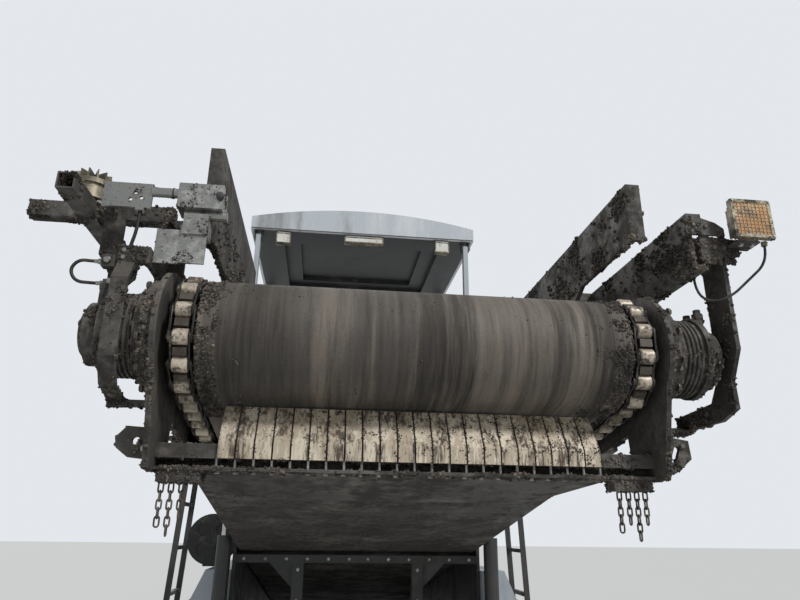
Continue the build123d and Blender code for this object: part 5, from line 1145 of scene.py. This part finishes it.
@dataclass(frozen=True)
class EngineHouse:
    """Hinges, seals, exhaust cap and intake bands on the engine housing. Sizes are metres."""

    wall: float = 0.9502
    door_face: float = 0.9624
    hinge_x: float = 0.9625
    door_front: float = 1.445
    door_low: float = 1.70
    door_high: float = 2.60
    exhaust: tuple = (0.56, 1.15, 3.18)
    intake: tuple = (-0.56, 1.15)

    def door(self, name: str, side: int) -> None:
        """Add the hinges and the lock of one door, and the seal round its opening.

        Args:
            name: The door's side, as left or right.
            side: That side's sign on X.
        """
        steel, seal = Shape(), Shape()
        for z in (self.door_low + 0.12, (self.door_low + self.door_high) / 2, self.door_high - 0.12):
            for part in range(3):
                steel.lathe((side * self.hinge_x, self.door_front, z - 0.045 + 0.031 * part), UP,
                            ((0, 0.007), (0.001, 0.008), (0.027, 0.008), (0.028, 0.007)), 16)
            near, far = sorted((side * self.door_face, side * (self.door_face + 0.0028)))
            steel.box((near, self.door_front - 0.075, z - 0.03), (far, self.door_front - 0.004, z + 0.03))
            for step in (-0.055, -0.03):
                steel.bolt((side * (self.door_face + 0.0027), self.door_front + step, z), (side, 0, 0), 0.009)
        steel.lathe((side * self.door_face, 0.665, 2.34), (side, 0, 0), ((0, 0.017), (0.004, 0.017),
                                                                         (0.006, 0.013)), 20)
        steel.piece(f"engine_door_hinges_{name}", f"engine_door_{name}", "body_paint", ZINC, 0.6)
        near, far = side * self.wall - 0.0012, side * self.wall + 0.0012
        for z in (self.door_low - 0.004, self.door_high + 0.004):
            seal.box((near, 0.6, z - 0.003), (far, 1.45, z + 0.003))
        for y in (0.601, 1.449):
            seal.box((near, y - 0.003, self.door_low), (far, y + 0.003, self.door_high))
        seal.piece(f"engine_door_seal_{name}", "chassis", "body_paint", PAD_RUBBER)

    def build(self) -> None:
        """Dress both doors, the exhaust with its tilted cap, and the intake."""
        for name, side in SIDES:
            self.door(name, side)
        top, bands = Shape(), Shape()
        x, y, z = self.exhaust
        tilt = Matrix.Rotation(math.radians(14), 3, "X")
        cap = [tilt @ point for point in ring(Vector((0, 0, 0)), Vector((1, 0, 0)), Vector((0, 0, 1)), 0.062, 28)]
        top.skin([[Vector((x, y, z + rise)) + point for point in cap] for rise in (0.016, 0.020)])
        top.rod((x - 0.03, y + 0.058, z + 0.004), (x + 0.03, y + 0.058, z + 0.004), 0.007)
        top.lathe((x, y, z - 0.36), UP, ((0, 0.0555), (0.002, 0.058), (0.016, 0.058), (0.018, 0.0555)), 32)
        top.lathe((x, y, z - 0.4802), UP, ((0, 0.085), (0.008, 0.085), (0.01, 0.06)), 32)
        top.piece("exhaust_cap", "chassis", "body_paint", BARE_STEEL)
        for z in (2.80, 2.85):
            bands.lathe((*self.intake, z), UP, ((0, 0.0955), (0.002, 0.0975), (0.010, 0.0975), (0.012, 0.0955)), 40)
        bands.lathe((*self.intake, 2.8702), UP, ((0, 0.088), (0.012, 0.083), (0.022, 0.06), (0.026, 0.02)), 40)
        bands.piece("intake_bands", "chassis", "body_paint", DARK_PAINT)


@dataclass(frozen=True)
class DeckTread:
    """Raised lozenges that make the deck plates safe to walk on. Sizes are metres."""

    half_x: float = 1.16
    rear: float = -1.09
    front: float = 0.49
    top: float = 2.05
    step: float = 0.036
    rise: float = 0.0022

    def build(self) -> None:
        """Lay the lozenges in two crossed directions, clear of the seats and posts."""
        tread = Shape()
        for row in range(int((self.front - self.rear) / self.step)):
            for column in range(int(2 * self.half_x / self.step)):
                x = -self.half_x + self.step * (column + 0.5)
                y = self.rear + self.step * (row + 0.5)
                near_post = abs(abs(x) - 0.905) < 0.05 and min(abs(y + 0.96), abs(y - 0.48)) < 0.06
                if near_post or math.hypot(abs(x) - 0.56, y + 0.06) < 0.155:
                    continue
                way = math.radians(45 if (row + column) % 2 else -45)
                along, across = Vector((math.cos(way), math.sin(way), 0)), Vector((-math.sin(way), math.cos(way), 0))
                corners = [Vector((x, y, self.top + rise)) + along * a * length + across * b * width
                           for length, width, rise in ((0.013, 0.0042, 0.0), (0.008, 0.002, self.rise))
                           for a, b in ((-1, 0), (0, -1), (1, 0), (0, 1))]
                tread.add(corners, ((0, 1, 5, 4), (1, 2, 6, 5), (2, 3, 7, 6), (3, 0, 4, 7), (4, 5, 6, 7)))
        tread.piece("deck_tread", "chassis", "dark_paint", DECK_STEEL)


@dataclass(frozen=True)
class Seat:
    """Both operators' seats with sewn cushions and what their consoles carry. Sizes are metres."""

    middle: float = 0.56
    pan: float = 2.38
    gap: float = 0.010
    round_edge: float = 0.028
    voxel: float = 0.006
    pressure: float = 4.0
    frames: int = 20
    seam_width: float = 0.006
    seam_depth: float = 0.007

    def cushion(self, name: str, low: tuple, high: tuple, body: str, cap: float) -> bpy.types.Object:
        """Blow up one cushion from a block slightly smaller than its space.

        Args:
            name: The piece's name.
            low: Lowest corner of the space.
            high: Highest corner of the space.
            body: The body that carries it.
            cap: Furthest that a point may swell.

        Returns:
            The cushion.
        """
        shape = Shape()
        shape.box([value + self.gap for value in low], [value - self.gap for value in high])
        made = shape.piece(name, body, "seat_vinyl", VINYL)
        edge = made.modifiers.new("round", "BEVEL")
        edge.width, edge.segments = self.round_edge, 5
        remesh = made.modifiers.new("voxels", "REMESH")
        remesh.mode, remesh.voxel_size, remesh.use_smooth_shade = "VOXEL", self.voxel, True
        self.apply(made)
        self.swell(made, low, high, cap)
        self.sew(made, low, high)
        made.data.shade_smooth()
        return made

    def swell(self, made: bpy.types.Object, low: tuple, high: tuple, cap: float) -> None:
        """Blow the cushion up as cloth, hold it inside its space and ease its creases.

        Args:
            made: The cushion.
            low: Lowest corner of the space.
            high: Highest corner of the space.
            cap: Furthest that a point may swell.
        """
        start = numpy.array([vertex.co[:] for vertex in made.data.vertices])
        cloth = made.modifiers.new("swell", "CLOTH").settings
        cloth.use_pressure, cloth.uniform_pressure_force = True, self.pressure
        cloth.effector_weights.gravity = 0.0
        for step in range(1, self.frames + 1):
            bpy.context.scene.frame_set(step)
        self.apply(made)
        bpy.context.scene.frame_set(1)
        move = numpy.array([vertex.co[:] for vertex in made.data.vertices]) - start
        far = numpy.linalg.norm(move, axis=1)
        end = start + move * numpy.minimum(1, cap / numpy.maximum(far, 1e-9))[:, None]
        end = numpy.clip(end, numpy.array(low) + 0.0005, numpy.array(high) - 0.0005)
        made.data.vertices.foreach_set("co", end.ravel())
        ease = made.modifiers.new("ease", "SMOOTH")
        ease.factor, ease.iterations = 0.5, 10
        self.apply(made)

    def apply(self, piece: bpy.types.Object) -> None:
        """Turn the piece's modifiers into its mesh.

        Args:
            piece: The piece.
        """
        seen = piece.evaluated_get(bpy.context.evaluated_depsgraph_get())
        mesh = bpy.data.meshes.new_from_object(seen)
        piece.modifiers.clear()
        old = piece.data
        piece.data = mesh
        bpy.data.meshes.remove(old)

    def sew(self, piece: bpy.types.Object, low: tuple, high: tuple) -> None:
        """Press two sewn seams along the cushion's broad face and two across its middle.

        Args:
            piece: The cushion.
            low: Lowest corner of the space.
            high: Highest corner of the space.
        """
        wide = high[0] - low[0]
        run, rise = (2, 1) if high[2] - low[2] > 0.3 else (1, 2)
        tall = high[run] - low[run]
        for vertex in piece.data.vertices:
            place = (vertex.co.x - low[0]) / wide
            along = (vertex.co[run] - low[run]) / tall
            near = min(abs(place - share) for share in (0.2, 0.8)) * wide
            cross = min(abs(along - share) for share in (0.34, 0.67)) * tall if 0.2 < place < 0.8 else 1.0
            if vertex.co[rise] > (low[rise] + high[rise]) / 2:
                vertex.co[rise] -= self.seam_depth * max(math.exp(-(near / self.seam_width) ** 2),
                                                         math.exp(-(cross / self.seam_width) ** 2))

    def build(self) -> None:
        """Make both seats' cushions, arm pads, switches and levers."""
        for name, side in SIDES:
            body, x, pan = f"seat_{name}", side * self.middle, self.pan
            base = self.cushion(f"seat_base_{name}", (x - 0.185, -0.19, pan + 0.0203),
                                (x + 0.185, 0.18, pan + 0.11), body, 0.024)
            self.cushion(f"seat_back_{name}", (x - 0.18, -0.2817, pan + 0.06), (x + 0.18, -0.192, pan + 0.6),
                         body, 0.026)
            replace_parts(base, f"seat_cushions_{name}")
            controls, grips = Shape(), Shape()
            for offset in (-0.2025, 0.2025):
                grips.box((x + offset - 0.022, -0.235, pan + 0.231), (x + offset + 0.022, 0.085, pan + 0.255))
            face_x = side * (self.middle - 0.085)
            for row in range(2):
                for column in range(6):
                    spot = (face_x + (column - 2.5) * 0.032, 0.216 + 0.02 * row, pan + 0.362 + 0.048 * row)
                    controls.lathe(spot, (0, -0.93, 0.2), ((0, 0.007), (0.008, 0.007), (0.010, 0.005)), 14)
            lever = (face_x - 0.09, 0.285, pan + 0.53)
            controls.rod((face_x - 0.09, 0.30, pan + 0.425), lever, 0.007)
            grips.lathe(lever, (0, -0.15, 1), ((0, 0.012), (0.01, 0.018), (0.035, 0.02), (0.05, 0.014),
                                               (0.055, 0.006)), 20)
            controls.piece(f"console_controls_{name}", body, "dark_paint", ZINC)
            grips.piece(f"console_grips_{name}", body, "dark_paint", PAD_RUBBER, 3.0)


@dataclass(frozen=True)
class Roof:
    """Lenses, seal and screws of the roof. Sizes are metres."""

    rear: float = -1.013
    # middle, half width, bottom, top and ribs of each lamp
    lamps: tuple = ((-0.69, 0.052, 3.801, 3.895, 7), (0.69, 0.052, 3.801, 3.895, 7), (0.0, 0.158, 3.845, 3.895, 12))

    def build(self) -> None:
        """Add the lenses with their ribs, the seal, the heads of the post pins and the screws."""
        lens, ribs, seal, steel = Shape(), Shape(), Shape(), Shape()
        for x, half, low, high, count in self.lamps:
            lens.box((x - half, self.rear + 0.003, low), (x + half, self.rear + 0.0055, high))
            for rib in range(count + 1):
                at = x - half + 2 * half * rib / count
                ribs.box((at - 0.0008, self.rear + 0.0015, low), (at + 0.0008, self.rear + 0.0032, high))
        for y in (-1.0265, 0.6755):
            seal.box((-0.962, y - 0.001, 3.909), (0.962, y + 0.002, 3.917))
        for x in (-0.9715, 0.9695):
            seal.box((x, -1.02, 3.909), (x + 0.002, 0.67, 3.917))
        for _, side in SIDES:
            for y in (-0.96, 0.48):
                steel.bolt((side * 0.9394, y, 3.86), (side, 0, 0), 0.024)
            for step in range(7):
                steel.lathe((side * 0.9702, -0.9 + 0.245 * step, 3.96), (side, 0, 0),
                            ((0, 0.007), (0.0015, 0.0055)), 16)
        lens.piece("roof_lamp_lenses", "roof", "lamp_body", CLEAR_LENS)
        ribs.piece("roof_lamp_ribs", "roof", "lamp_body", CLEAR_LENS)
        seal.piece("roof_seal", "roof", "roof_shell", PAD_RUBBER)
        steel.piece("roof_screws", "roof", "roof_shell", ZINC)


@dataclass(frozen=True)
class HopperLiner:
    """Wear plates that line the hopper's wings. Sizes are metres."""

    hinge: tuple = (0.95, 0.95)
    path: tuple = ((-0.0095, 0.03), (-0.0095, 0.505), (-0.299, 0.842))
    thick: float = 0.0015
    rear: float = 1.60
    front: float = 3.88

    def build(self) -> None:
        """Bend one thin sheet along each wing's inner face."""
        for name, side in SIDES:
            plate = Shape()
            near = [(side * (self.hinge[0] + x), self.hinge[1] + z) for x, z in self.path]
            far = [(x - side * self.thick, z - self.thick * 0.4) for x, z in near]
            plate.prism(near + far[::-1], "Y", self.rear, self.front)
            plate.piece(f"hopper_liner_{name}", f"hopper_wing_{name}", "body_paint", HOPPER_STEEL)


def main() -> None:
    """Build every piece in order."""
    logging.basicConfig(level=logging.INFO, format="%(message)s")
    Studio().build()
    for cord in CORDS:
        cord.build()
    dress_nodes()
    for assembly in (RollerChain(), HangingChains(), ScraperStuds(), Drives(), WorkLamp(), LeftArm(), RightArm(),
                     EngineHouse(), DeckTread(), Seat(), Roof(), HopperLiner(), *BOLTS, *CRUMB_ZONES):
        LOG.info("assembly %s", type(assembly).__name__)
        assembly.build()


if __name__ == "__main__":
    main()
